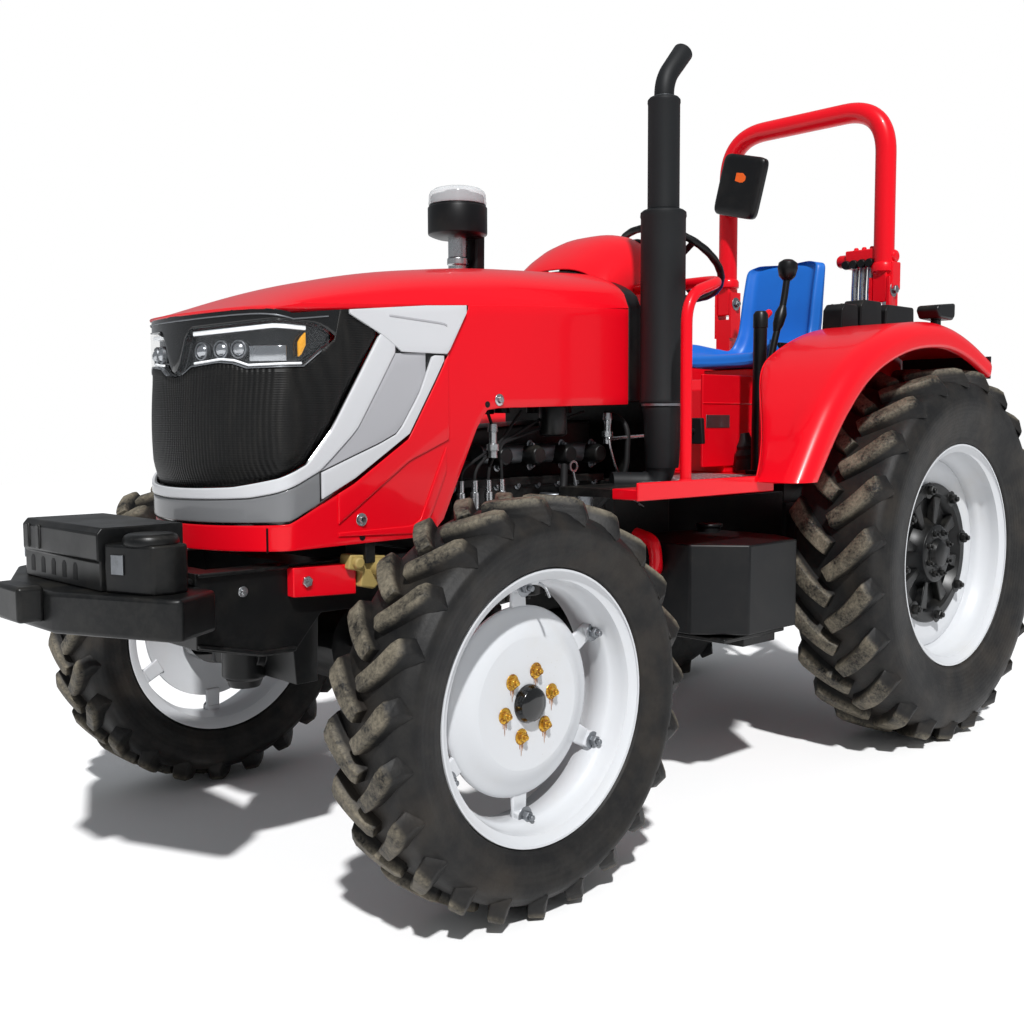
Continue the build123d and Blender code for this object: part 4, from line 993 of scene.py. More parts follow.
@dataclass
class RearWheel:
    """Rear wheel: deep rim with a black cast centre set into it."""

    side: Side
    centre: Vector
    rim: float = REAR.rim
    width: float = REAR.rim_width
    core: float = 0.262

    def build(self) -> None:
        """Makes the rim, the disc and the centre."""
        half, name, out = self.width / 2, self.side.word, self.side.out
        body = f"wheel_rear_{name}"
        rim = Form()
        barrel = [(half, self.rim - 0.001), (half - 0.004, self.rim), (half - 0.012, self.rim - 0.01),
            (half - 0.017, self.rim - 0.024), (half - 0.04, self.rim - 0.028), (0.075, self.rim - 0.03),
            (0.062, self.rim - 0.044), (0.046, self.rim - 0.052), (-0.02, self.rim - 0.052),
            (-0.045, self.rim - 0.032), (-half + 0.016, self.rim - 0.028), (-half, self.rim - 0.001)]
        rim.revolve([*barrel, *[(y, r - 0.006) for y, r in barrel[::-1]]], self.centre, out, 120)
        dish = [(0.022, self.rim - 0.056), (0.03, self.rim - 0.06), (0.034, self.rim - 0.085),
            (0.033, self.core + 0.05), (0.03, self.core + 0.018), (0.03, self.core - 0.004),
            (0.02, self.core - 0.004), (0.021, self.core + 0.05)]
        rim.revolve(dish, self.centre, out, 120)
        rim.emit(f"rear_rim_{name}", WHITE, f"rim_rear_{name}", body=body, sharp=50)
        core = Form()
        c = self.core
        core.revolve([(0.004, c - 0.002), (0.04, c - 0.002), (0.046, c - 0.008), (0.046, c - 0.04),
            (0.032, c - 0.05), (0.012, c - 0.062), (0.01, 0.13), (0.034, 0.112), (0.06, 0.106),
            (0.064, 0.096), (0.062, 0.056), (0.08, 0.048), (0.086, 0.036), (0.088, 0.0005), (0.004, 0.0005)],
            self.centre, out, 96, closed=False)
        core.emit(f"rear_centre_{name}", BLACK_IRON, f"wheel_centre_rear_{name}", body=body, bevel=0.0015)
        for label, reach, base, across, high, first in (("rear_disc_bolts", c - 0.024, 0.046, 0.032, 0.018,
                10), ("rear_hub_bolts", 0.08, 0.063, 0.02, 0.012, 22)):
            bolts = Form()
            bolts.bolt(self.centre + AHEAD * reach + out * base, out, across, high, stud=0.01)
            bolts.turned_copies(8, self.centre, LEFT, first)
            bolts.emit(f"{label}_{name}", BLACK_IRON, body=body, bevel=0.001, steps=1)
        ribs, (x, y, z) = Form(), self.centre
        ribs.prism(((x + 0.108, z - 0.012), (x + c - 0.05, z - 0.026), (x + c - 0.05, z + 0.026),
            (x + 0.108, z + 0.012)), y + out.y * 0.008, y + out.y * 0.038)
        ribs.turned_copies(8, self.centre, LEFT, 32)
        ribs.emit(f"rear_centre_ribs_{name}", BLACK_IRON, body=body, bevel=0.004)


# ---- hood and nose ----


@dataclass
class Nose:
    """Plan of the hood and the side-view outlines that divide its upright skin."""

    rear_x: float = 0.17
    rear_y: float = 0.364
    corner_x: float = 1.385
    corner_y: float = 0.322
    tip_x: float = 1.503
    round_r: float = 0.06
    seam: Sequence[tuple[float, float, float]] = ((0.17, 1.521, 1.656), (0.625, 1.505, 1.634),
        (0.96, 1.483, 1.593), (1.242, 1.454, 1.532), (1.52, 1.42, 1.432))
    mask: Outline = ((1.106, 1.4), (1.257, 1.156), (1.33, 1.072), (1.397, 1.04), (1.46, 1.018),
        (1.563, 1.003))
    band: Outline = ((0.806, 1.489), (0.932, 1.272), (1.019, 1.13), (1.19, 1.02), (1.375, 0.928),
        (1.563, 0.918))
    cuts: Sequence[float] = (0.812, 0.892, 0.942, 1.06, 1.098, 1.14, 1.222, 1.288, 1.292)

    def edge_z(self, x: float) -> float:
        """Height at x of the lifting top's lower edge, arched round the nose."""
        if x < 1.3:
            return self.seam_z(x) - SEAM_GAP
        side = along([(spot.x, spot.y) for spot, _ in self.plan()], x)
        share = min(1, side / self.flank(x))
        rise = max(self.crown_z(x) - self.seam_z(x), 0.004)
        return self.seam_z(x) - SEAM_GAP + rise * sqrt(max(0, 1 - share ** ARCH))

    def flank(self, x: float) -> float:
        """Half width of the hood at a place along it."""
        return self.rear_y + (self.corner_y - self.rear_y) * (x - self.rear_x) / (self.corner_x - self.rear_x)

    def seam_z(self, x: float) -> float:
        """Height of the seam under the lifting top."""
        return along([(a, b) for a, b, _ in self.seam], x)

    def crown_z(self, x: float) -> float:
        """Height of the crown, eased along the hood."""
        return eased_along([(a, c) for a, _, c in self.seam], x, 0.1)

    def plan(self) -> list[tuple[Vector, Vector]]:
        """Places round the left half of the plan with their outward normals, rear to tip."""
        slope = (self.corner_y - self.rear_y) / (self.corner_x - self.rear_x)
        tilt = sqrt(1 + slope * slope)
        arc_x = (self.tip_x ** 2 - self.corner_x ** 2 - self.corner_y ** 2) / (2
            * (self.tip_x - self.corner_x))
        arc_r = self.tip_x - arc_x
        low, high = self.corner_x - 0.15, self.corner_x
        for _ in range(50):
            middle = (low + high) / 2
            reach = hypot(middle - arc_x, self.flank(middle) - self.round_r * tilt)
            low, high = (low, middle) if reach > arc_r - self.round_r else (middle, high)
        heart = Vector((low, self.flank(low) - self.round_r * tilt, 0))
        flat = Vector((-slope, 1, 0)).normalized()
        end = atan2(heart.y, heart.x - arc_x)
        begin = atan2(flat.y, flat.x)
        touch = heart + flat * self.round_r
        xs = sorted({*[self.rear_x + (touch.x - self.rear_x) * k / 60 for k in range(60)],
            *[x for x, _ in (*self.mask, *self.band) if x < touch.x], *self.cuts})
        rows = [(Vector((x, self.flank(x), 0)), flat) for x in xs]
        for k in range(9):
            turn = begin + (end - begin) * k / 8
            out = Vector((cos(turn), sin(turn), 0))
            rows.append((heart + out * self.round_r, out))
        for k in range(1, 25):
            turn = end * (1 - k / 24)
            out = Vector((cos(turn), sin(turn), 0))
            rows.append((Vector((arc_x, 0, 0)) + out * arc_r, out))
        return rows

    def patch(self, low: Outline | Callable[[float], float], high: Outline | Callable[[float], float],
            start: float = 0.0, stop: float = BEYOND, proud: float = 0.0, rows: int = 8,
            ease: Callable[[float, float], float] | None = None) -> Form:
        """A stretch of upright skin between two heights.

        Args:
            low: its lower edge, an outline or a height at x.
            high: its upper edge, in the same way.
            start: the first x.
            stop: the last x; past the tip it runs on round the other side.
            proud: how far it stands out of the skin.
            rows: how many rows of faces it has.
            ease: more relief by (x, share of the height), in metres.

        Returns:
            An open form, mirrored where it stops before the tip.
        """
        low, high = (edge if callable(edge) else follow(edge) for edge in (low, high))
        half = [(spot, out) for spot, out in self.plan() if start <= spot.x <= stop]
        whole = stop > self.tip_x
        if whole:
            half += [(Vector((spot.x, -spot.y, 0)), Vector((out.x, -out.y, 0))) for spot, out in half[-2::-1]]
        columns = []
        for spot, out in half:
            bottom, top = low(spot.x), high(spot.x)
            if top - bottom < -0.0005:
                continue
            column = []
            for k in range(rows + 1):
                share = k / rows
                stand = proud + (ease(spot.x, share) if ease else 0.0)
                column.append(spot + out * stand + UP * (bottom + max(top - bottom, 0.0005) * share))
            columns.append(column)
        form = Form().skin(columns)
        return form if whole else form.both_sides()

    def between(self, share: float) -> Callable[[float], float]:
        """Height at x of a line a share of the way from the mask's edge out to the band's."""
        rows = []
        for k in range(25):
            (x0, z0), (x1, z1) = self.walk(self.mask, k / 24), self.walk(self.band, k / 24)
            rows.append((x0 + (x1 - x0) * share, z0 + (z1 - z0) * share))
        return follow(rows)

    @staticmethod
    def walk(outline: Outline, share: float) -> Pair:
        """The point a share of the way along an outline."""
        runs = [dist(a, b) for a, b in zip(outline, outline[1:])]
        left = share * sum(runs)
        for (a, b), run in zip(zip(outline, outline[1:]), runs):
            if left <= run:
                return (a[0] + (b[0] - a[0]) * left / run, a[1] + (b[1] - a[1]) * left / run)
            left -= run
        return outline[-1]

    def build(self) -> None:
        """Makes the hood's top and sides, the trim, the mask and the lamps."""
        self.top()
        self.flanks()
        self.trim()
        self.face()

    def top(self) -> None:
        """The lifting top: arched, with a rolled front and side edge."""
        plan = self.plan()
        shares = [k / 20 for k in range(-20, 21)]
        front = [next((spot.x for spot, _ in plan if spot.y <= abs(v) * self.flank(spot.x) + 1e-9),
            self.tip_x) for v in shares]
        rows = []
        for k in range(49):
            row = []
            for v, end in zip(shares, front):
                x = self.rear_x + (end - 0.001 - self.rear_x) * k / 48
                seam = self.seam_z(x)
                rise = max(self.crown_z(x) - seam, 0.004)
                arch = sqrt(max(0, 1 - abs(v) ** ARCH))
                row.append(Vector((x, v * self.flank(x) * 0.999, seam + rise * arch)))
            rows.append(row)
        Form().skin(rows).emit("hood_top_skin", RED, "hood_top", body="hood", shell=0.006,
            bevel=0.002, sharp=60)

    def flanks(self) -> None:
        """The fixed sides, with a raised shoulder over a sunk corner panel."""
        lower = ((0.17, 1.226), (0.7, 1.212), (0.745, 1.206), (0.778, 1.165), (0.902, 0.912), (0.93, 0.886),
            (0.985, 0.869), (1.385, 0.862), (1.563, 0.856))
        gap = 0.0006

        def top(x: float) -> float:
            """The flank's upper edge: the seam, then the trim's outer edge."""
            return min(self.seam_z(x) - SEAM_GAP, along(self.band, x) - gap if x > 0.806 else BEYOND)

        self.patch(lower, top, rows=10).emit("hood_side_skin", RED, "hood_sides", shell=0.005,
            bevel=0.0015, sharp=60)
        crease = ((0.88, 1.128), (1.014, 1.074), (1.25, 0.911))
        self.patch(crease, top, start=0.882, stop=1.248, proud=0.0045, rows=5).emit("hood_side_shoulder", RED,
            shell=0.005, bevel=0.003, steps=3, sharp=50)
        rib = ((0.884, 1.126), (0.925, 1.04), (0.984, 0.912), (1.01, 0.902), (1.246, 0.898))
        rib_low = ((0.884, 1.06), (0.915, 0.99), (0.958, 0.9), (1, 0.88), (1.246, 0.888))
        self.patch(rib_low, rib, start=0.884, stop=1.246, proud=0.0035, rows=3).emit("hood_corner_rib", RED,
            shell=0.004, bevel=0.0025, steps=3, sharp=50)
        marks = Form()
        for x, z in ((1.168, 0.927), (0.7, 1.235)):
            marks.bolt((x, self.flank(x), z), LEFT, 0.018, 0.008)
        marks.both_sides().emit("hood_side_bolts", STEEL, bevel=0.0008)
        # Flat black discs laid on the skin stand for holes: the dark inside each hole is painted shade.
        hole_shades = Form()
        for x, z in ((1.166, 0.882), (0.744, 1.222)):
            hole_shades.turned([(0, 0.009), (1, 0.009)], (x, self.flank(x) - 0.003, z),
                (x, self.flank(x) + 0.0006, z), 24)
        hole_shades.both_sides().emit("hood_side_holes", MOULDED)
        Form().block((1.415, 0.2815, 0.858),
            (1.4185, 0.2855, 0.918)).both_sides().emit("hood_front_joint", MOULDED)

    def trim(self) -> None:
        """The silver surround: inner strip, inset panel, stepped outer band and grey lower band."""
        edge = {share: self.between(share) for share in (0.3, 1)}
        lip, fringe = follow(self.mask), follow(self.band)
        seam = lambda x: self.seam_z(x) - SEAM_GAP
        cap = lambda line: (lambda x: min(line(x), seam(x)))
        base = self.patch(cap(edge[1]), cap(lip), start=0.807, rows=8)
        base.emit("trim_backing", GLOSS_BLACK, "grille_surround", shell=0.006)
        inner = self.patch(cap(edge[0.3]), cap(lambda x: lip(x) - 0.001), start=1.06, proud=0.008, rows=5)
        inner.emit("trim_inner_strip", SILVER, shell=0.008, **PRESSED)
        lower = self.patch(lambda x: fringe(x) + 0.006, lambda x: edge[0.3](x) - 0.002, start=1.288,
            proud=0.0045, rows=6)
        lower.emit("trim_lower_band", GREY_BAND, shell=0.006, **PRESSED)
        panel = ((0.94, 1.352), (0.984, 1.25), (1.052, 1.148), (1.112, 1.12), (1.186, 1.092), (1.292, 1.051))
        strip = lambda x: min(edge[0.3](x), 1.354 + (x - 1.04) * -0.04 if x < 1.12 else BEYOND) - 0.002
        inset = self.patch(lambda x: along(panel, x) + 0.002, strip, start=0.942, stop=1.288,
            proud=0.004, rows=6)
        inset.emit("trim_inset_panel", GREY_PANEL, shell=0.004, bevel=0.002, sharp=50)
        band = self.patch(cap(lambda x: fringe(x) + 0.014), lambda x: min(along(panel, x),
            1.352 if x < 0.94 else BEYOND) - 0.002, start=0.892, stop=1.292, proud=0.009, rows=6)
        band.emit("trim_outer_band", SILVER, shell=0.008, **PRESSED)
        brow = ((0.8, 1.355), (1.04, 1.355), (1.094, 1.392), (1.223, 1.455))
        self.patch(lambda x: max(fringe(x) + 0.008, along(brow, x)), lambda x: self.seam_z(x) - 0.004,
            start=0.812, stop=1.222, proud=0.0092, rows=6).emit("trim_shoulder", SILVER,
            shell=0.008, **PRESSED)
        # A darker grey strip laid along the silver shoulder paints the shade of a pressed groove.
        groove = ((0.87, 1.418), (0.905, 1.432), (1.12, 1.446))
        self.patch(groove, follow(groove, 0.006), start=0.892, stop=1.098, proud=0.0104,
            rows=1).emit("trim_shoulder_groove_shade", GREY_PANEL, shell=0.003, bevel=0.001)

    def face(self) -> None:
        """The black mask, its ribbed grille and the lamp clusters."""
        lamp_low = ((1.236, 1.382), (1.318, 1.32), (1.33, 1.311), (1.44, 1.306), (1.457, 1.318),
            (1.474, 1.322), (1.497, 1.314), (1.503, 1.288))
        lamp_high = ((1.236, 1.386), (1.268, 1.41), (1.3, 1.417), (1.404, 1.421), (1.497, 1.408),
            (1.5005, 1.38), (1.503, 1.3))
        lip, seam = follow(self.mask), self.edge_z

        def swell(x: float, share: float) -> float:
            """The grille's belly: out in the middle, in at its lower edge."""
            return 0.006 * sin(pi * min(1, share * 1.1)) - 0.01 * max(0, 0.16 - share) / 0.16

        low = lambda x: lip(x) + 0.001
        cut = lambda x: min(seam(x), max(along(lamp_low, x) if x > 1.236 else BEYOND, lip(x) + 0.002))
        self.patch(low, cut, start=1.107, proud=-0.001, rows=16, ease=swell).emit("grille_cloth", MESH,
            "grille", shell=0.005, sharp=60)
        brow = self.patch(lambda x: max(along(lamp_high, x), lip(x)) if x > 1.236 else max(lip(x), 1.384),
            seam, start=1.125, proud=-0.002, rows=4)
        brow.emit("mask_brow", GLOSS_BLACK, slot="grille_mesh", shell=0.006, bevel=0.002, sharp=50)
        line = self.patch(lambda x: seam(x) - 0.016, lambda x: seam(x) - 0.0125, start=1.24,
            proud=0.002, rows=1)
        line.emit("mask_brow_line", DULL_STEEL, slot="grille_mesh", shell=0.003, bevel=0.0008)
        self.lamps(lamp_low, lamp_high)

    def lamps(self, low: Outline, high: Outline) -> None:
        """The lamp clusters: dark bowl, light outline, projectors, reflector, amber corner, cover."""
        bowl = self.patch(low, high, start=1.238, proud=-0.022, rows=6)
        bowl.emit("lamp_bowls", GLOSS_BLACK, "headlamps", slot="lamp_glass", shell=0.004)
        for name, outline, drop, wide, start in (("upper", high, -0.02, 0.011, 1.3),
                ("lower", low, 0.004, 0.006, 1.33)):
            line = self.patch(follow(outline, drop), follow(outline, drop + wide), start=start, stop=1.4985,
                proud=-0.006, rows=1)
            line.emit(f"lamp_line_{name}", LED, shell=0.006, bevel=0.002)
        for name, outline, wide, stop, finish in (("lower", low, 0.0015, 1.5015, DULL_STEEL),
                ("upper", high, 0.001, 1.4995, GLOSS_BLACK)):
            rim = self.patch(follow(outline, -0.002), follow(outline, wide), start=1.262, stop=stop,
                proud=0.0015, rows=1)
            rim.emit(f"lamp_rim_{name}", finish, slot="silver_trim", shell=0.012, bevel=0.001)
        amber = self.patch(((1.302, 1.392), (1.333, 1.334), (1.356, 1.332)),
            ((1.302, 1.393), (1.322, 1.393), (1.356, 1.34)), start=1.302, stop=1.356, proud=-0.008, rows=2)
        amber.emit("lamp_amber", AMBER, shell=0.008, bevel=0.001)
        panel = self.patch(((0, 1.322), (BEYOND, 1.322)), ((0, 1.36), (BEYOND, 1.36)), start=1.366, stop=1.44,
            proud=-0.014, rows=2)
        panel.emit("lamp_reflector_panels", REFLECTOR, shell=0.004, bevel=0.002)
        eyes, rings = Form(), Form()
        for spot, out in self.plan():
            for x, z in ((1.4535, 1.352), (1.4745, 1.352), (1.4915, 1.35)):
                if abs(spot.x - x) < 0.0022 and spot.y > 0:
                    base = spot + UP * z
                    eyes.turned([(0, 0.017), (0.5, 0.017), (0.8, 0.013), (1, 0.005)], base - out * 0.02,
                        base - out * 0.002, 28)
                    rings.revolve([(-0.02, 0.023), (-0.008, 0.0225), (-0.007, 0.019), (-0.019, 0.018)],
                        base, out, 28)
                    break
        eyes.both_sides().emit("lamp_projectors", REFLECTOR)
        rings.both_sides().emit("lamp_projector_rings", DULL_STEEL, slot="lamp_glass", bevel=0.0006)
        cover = self.patch(follow(low, 0.002), follow(high, -0.002), start=1.24, proud=0.001, rows=5)
        cover.emit("lamp_covers", LAMP_CLEAR)


# ---- dressed forms ----


@dataclass
class Softened:
    """A CAD node's own form with its corners eased and its flats joined."""

    node: str
    body: str
    finish: Finish
    slot: str
    ease: float

    def build(self) -> None:
        """Makes the eased piece in the node's place."""
        Form().node(self.node).emit(f"{self.node}_dressed", self.finish, self.node, body=self.body,
            slot=self.slot, bevel=self.ease)


@dataclass
class Muffler:
    """Upright silencer: drum with rolled seams, slimmer stack, slanted outlet and elbow below."""

    x: float = 0.11
    y: float = 0.45
    drum_r: float = 0.0685
    stack_r: float = 0.0485
    outlet_r: float = 0.03

    def build(self) -> None:
        """Makes the drum, the stack, the outlet and the elbow to the manifold."""
        at = lambda z: Vector((self.x, self.y, z))
        r, s = self.drum_r, self.stack_r
        drum = Form()
        drum.turned([(0, s), (0.012, r * 0.86), (0.02, r), (0.03, r + 0.0015), (0.04, r), (0.955, r),
            (0.965, r + 0.002), (0.985, r + 0.001), (0.995, r * 0.9), (1, s)], at(1.218), at(1.815), 72)
        drum.turned([(0, s), (0.93, s), (0.945, s + 0.0015), (0.97, s + 0.001), (0.99, s * 0.9), (1, 0.033)],
            at(1.815), at(2.15), 64)
        drum.turned([(0, 0.05), (0.08, 0.053), (0.86, 0.058), (0.94, 0.061), (1, 0.06)], at(1.03),
            at(1.219), 56)
        drum.emit("muffler_drum", EXHAUST, "muffler", bevel=0.0012)
        outlet = Form()
        route = bent([at(2.14), at(2.2), Vector((self.x - 0.09, self.y, 2.3))], 0.045, 12)
        outlet.pipe(route, lambda share: self.outlet_r + 0.0015 * (share > 0.97), 36, ends=False)
        outlet.emit("muffler_outlet", EXHAUST, shell=0.003, bevel=0.0006)
        Form().pipe(bent([at(1.06), at(1) + Vector((0, -0.02, -0.02)), Vector((0.23, 0.348, 0.985))], 0.05,
            12), lambda share: 0.048 - 0.014 * share, 32).emit("muffler_elbow", EXHAUST, bevel=0.001)
        clamps = Form()
        for z, radius in ((1.228, 0.0625), (2.142, 0.0345)):
            clamps.revolve([(-0.008, radius - 0.002), (-0.008, radius + 0.002), (0.008, radius + 0.002),
                (0.008, radius - 0.002)], at(z), UP, 56)
        clamps.emit("muffler_clamps", DULL_STEEL, slot="exhaust_black", bevel=0.0006)


@dataclass
class AirIntake:
    """Pre-cleaner: black bowl under a clear cap, on a chromed stem beside a black duct."""

    x: float = 0.19
    y: float = -0.41
    bowl_r: float = 0.105
    low: float = 1.82

    def build(self) -> None:
        """Makes the bowl, the cap, the vanes, the stem and the duct."""
        at = lambda z: Vector((self.x, self.y, z))
        r = self.bowl_r
        bowl = Form()
        bowl.turned([(0, r * 0.72), (0.06, r * 0.9), (0.1, r * 0.985), (0.16, r), (0.9, r), (0.92, r * 0.99),
            (0.94, r * 0.96), (1, r * 0.955)], at(self.low), at(1.935), 72)
        bowl.emit("pre_cleaner_bowl", MOULDED, "pre_cleaner", bevel=0.001)
        Form().turned([(0, r * 0.965), (0.12, r * 0.975), (0.2, r * 0.965), (0.6, r * 0.95), (0.78, r * 0.9),
            (0.92, r * 0.78), (1, r * 0.6)], at(1.934), at(1.994), 72).emit("pre_cleaner_cap",
            BOWL_CLEAR, bevel=0.001)
        vanes = Form()
        vanes.turned([(0, r * 0.5), (1, r * 0.42)], at(1.936), at(1.984), 40)
        for turn in circle(18):
            out = Vector((cos(turn), sin(turn), 0))
            side = out.cross(UP) * 0.0012
            near, far = at(1.936) + out * r * 0.45, at(1.936) + out * r * 0.9
            vanes.skin([[near - side, far - side, far + UP * 0.03 - side, near + UP * 0.044 - side],
                [near + side, far + side, far + UP * 0.03 + side, near + UP * 0.044 + side]],
                around=True, ends=True)
        vanes.emit("pre_cleaner_vanes", MOULDED)
        Form().turned([(0, 0.034), (0.55, 0.034), (0.57, 0.038), (0.66, 0.038), (0.68, 0.034), (1, 0.034)],
            at(1.6), at(1.825), 48).emit("pre_cleaner_stem", STEEL, bevel=0.0008)
        Form().pipe(bent([at(1.7), at(1.13), Vector((self.x, -0.1505, 1.13))], 0.06, 10), 0.0305,
            28).emit("intake_duct", RUBBER)
        shield = Form()
        shield.prism(((self.x - 0.085, 1.66), (self.x - 0.04, 1.66), (self.x - 0.05, 1.9),
            (self.x - 0.062, 1.955), (self.x - 0.09, 1.955)), self.y - 0.042, self.y + 0.05)
        shield.emit("intake_back_duct", MOULDED, bevel=0.01, steps=4)


@dataclass
class SteeringWheel:
    """Three-spoke wheel with a thick moulded rim and a domed boss."""

    radius: float = 0.21
    rim: float = 0.0135

    def build(self) -> None:
        """Makes the rim, the spokes and the boss."""
        axis, centre = STEERING_AXIS, STEERING_HEART
        other = axis.cross(LEFT)
        wheel = Form()
        ring = []
        for turn in circle(96):
            out = LEFT * cos(turn) + other * sin(turn)
            spot = centre + out * (self.radius - self.rim)
            grip = self.rim + 0.0006 * cos(turn * 24)
            ring.append([spot + (out * cos(b) + axis * sin(b)) * grip for b in circle(16)])
        wheel.skin([*ring, ring[0]], around=True)
        bmesh.ops.remove_doubles(wheel.bm, verts=wheel.bm.verts, dist=0.00001)
        wheel.turned([(0, 0.03), (0.3, 0.042), (0.75, 0.042), (0.9, 0.036), (1, 0.02)], centre - axis * 0.04,
            centre + axis * 0.004, 48)
        wheel.emit("steering_wheel_rim", MOULDED, "steering_wheel", body="steering_wheel", bevel=0.0008)
        spokes = Form()
        for i in range(3):
            turn = radians(90 + 120 * i)
            out = LEFT * cos(turn) + other * sin(turn)
            wide = axis.cross(out).normalized()
            rows = []
            for share, half, drop in ((0.15, 0.018, -0.01), (0.5, 0.012, -0.009), (0.85, 0.011, -0.004),
                    (0.985, 0.012, 0)):
                spot = centre + out * ((self.radius - self.rim) * share) + axis * drop
                rows.append([spot - wide * half - axis * 0.003, spot + wide * half - axis * 0.003,
                    spot + wide * half + axis * 0.002, spot - wide * half + axis * 0.002])
            spokes.skin(rows, around=True, ends=True)
        spokes.emit("steering_wheel_spokes", MOULDED, body="steering_wheel", bevel=0.001)


@dataclass
class Seat:
    """One-piece moulded seat shell with rolled sides, a crowned base and a ribbed back."""

    width: float = 0.43
    top: Outline = ((-0.792, 1.408), (-0.812, 1.44), (-0.9, 1.448), (-1.04, 1.44), (-1.14, 1.446),
        (-1.19, 1.53), (-1.215, 1.67), (-1.24, 1.79), (-1.256, 1.818))
    under: Outline = ((-0.794, 1.384), (-0.83, 1.38), (-0.9, 1.379), (-1.04, 1.379), (-1.17, 1.392),
        (-1.246, 1.52), (-1.262, 1.67), (-1.268, 1.79), (-1.266, 1.815))

    def build(self) -> None:
        """Makes the shell as crowned closed surfaces, then dresses it as the padded piece."""
        line, back = (curve_points([Vector((x, 0, z)) for x, z in outline],
            7) for outline in (self.top, self.under))
        rows = []
        half = self.width / 2
        shares = [sin(pi / 2 * k / 16) for k in range(-16, 17)]
        for i, (top, low) in enumerate(zip(line, back)):
            s = i / (len(line) - 1)
            wide = half * (0.9 + 0.1 * sin(pi * min(1, s * 1.6))) * (1 - 0.1 * max(0, s - 0.55))
            if s > 0.86:
                wide *= sqrt(max(0.06, 1 - ((s - 0.86) / 0.145) ** 2 * 0.55))
            normal = (top - low).normalized()
            crown = 0.016 if s < 0.5 else 0.01
            row = []
            for v in shares:
                edge = abs(v) ** 4
                bolster = 0.055 * exp(-((abs(v) - 0.88) / 0.1) ** 2) * min(1, s * 9) * (1 - 0.5 * s)
                dip = -crown * (1 - v * v) * 0.7
                groove = -0.004 * exp(-((abs(v) - 0.34) / 0.03) ** 2) if 0.08 < s < 0.9 else 0.0
                row.append(top + normal * (dip + bolster + groove - edge * 0.012) + LEFT * (v * wide))
            for v in shares[::-1]:
                row.append(low.lerp(top, abs(v) ** 6 * 0.5) + LEFT
                    * (v * wide * (0.985 if abs(v) > 0.99 else 0.97)))
            rows.append(row)
        seat = Form().skin(rows, around=True, ends=True)
        piece = seat.emit("seat_shell", SEAT_BLUE, "seat", smooth=1, sharp=80)
        belts = Form()
        for side in (-1, 1):
            belts.pipe(bent([(-1.1, side * 0.205, 1.4), (-1, side * 0.214, 1.45), (-0.93, side * 0.2, 1.462)],
                0.03, 6), 0.009, 10)
            belts.block((-0.945, side * 0.2 - 0.018, 1.452), (-0.885, side * 0.2 + 0.018, 1.472))
        belts.emit("seat_belt_stalks", MOULDED, bevel=0.004)


# ---- fenders, cowl, platform and rails ----


@dataclass
class Fender:
    """Pressed rear fender: crowned top, rolled outer edge and an inner side panel."""

    side: Side
    inner: float = 0.45
    outer: float = 0.815
    foot: float = 0.986
    axle: Pair = (REAR.x, REAR.radius)
    top: Outline = ((-0.08, 0.965), (-0.15, 1.068), (-0.215, 1.16), (-0.29, 1.25), (-0.41, 1.357),
        (-0.56, 1.438), (-0.75, 1.496), (-0.95, 1.518), (-1.1, 1.508), (-1.25, 1.47), (-1.4, 1.413))

    def section(self, spot: Vector, share: float) -> list[Vector]:
        """The pressed section at one place of the crown line, from the inner edge out.

        Args:
            spot: the place on the crown line.
            share: how far along the fender it is.

        Returns:
            Points of the section.
        """
        down = (Vector((self.axle[0], 0, self.axle[1])) - Vector((spot.x, 0, spot.z))).normalized()
        roll = 0.066
        inner = self.inner_y(spot.x)
        deep = 0.085 + 0.012 * sin(pi * share)
        rows = [(inner + 0.001, 0.004), (inner + 0.012, 0.0006)]
        rows += [(inner + (self.outer - roll - inner) * k / 8, 0) for k in range(1, 8)]
        for k in range(9):
            turn = pi / 2 * k / 8
            rows.append((self.outer - roll + roll * sin(turn), roll * 0.8 * (1 - cos(turn))))
        rows += [(self.outer, deep - 0.012), (self.outer - 0.002, deep - 0.003), (self.outer - 0.008, deep),
            (self.outer - 0.022, deep + 0.001)]
        swage = 0.0035 * (0.15 < share < 0.97)
        found = []
        for y, depth in rows:
            lift = swage * exp(-((y - 0.733) / 0.01) ** 2)
            found.append(Vector((spot.x, 0, spot.z)) + down * (depth - lift) + LEFT * (y * self.side.value))
        return found

    def inner_y(self, x: float) -> float:
        """Distance of the inner edge from the middle: it swings out towards the foot."""
        share = min(1, max(0, (x + 0.47) / 0.4))
        return self.inner + 0.205 * share * share * (3 - 2 * share)

    def build(self) -> None:
        """Makes the pressing, its inner panel and its fixings."""
        name = self.side.word
        line = curve_points([Vector((x, 0, z)) for x, z in self.top], 8)
        last = len(line) - 1
        skin = Form().skin([self.section(spot, i / last) for i, spot in enumerate(line)]).cut_below(self.foot)
        nodes = ("fenders",) if self.side is Side.LEFT else ()
        skin.emit(f"fender_skin_{name}", RED, *nodes, shell=0.004, bevel=0.0008, sharp=60)
        rows = []
        for spot in line:
            low = along(((-1.4, 1.3), (-1.15, 1.06), (-0.8, self.foot), (0, self.foot)), spot.x)
            at = LEFT * (self.inner_y(spot.x) * self.side.value)
            top = max(spot.z - 0.003, self.foot + 0.001)
            rows.append([Vector((spot.x, 0, top + (low - top) * k / 4)) + at for k in range(5)])
        Form().skin(rows).emit(f"fender_inner_panel_{name}", RED, shell=0.003)
        y0, y2 = sorted((self.side.value * 0.452, self.side.value * 0.806))
        Form().prism(((y0, 1.328), (y2, 1.328), (y2, 1.411), (y0, 1.411)), -1.397, -1.391,
            AHEAD).emit(f"fender_flap_{name}", RUBBER, slot="red_paint", bevel=0.001)
        bolts = Form()
        for x, z in ((-0.8, 1.2), (-1, 1.26), (-1.26, 1.34)):
            bolts.bolt((x, self.inner * self.side.value, z), -self.side.out, 0.016)
        bolts.emit(f"fender_bolts_{name}", DULL_STEEL, bevel=0.0006)


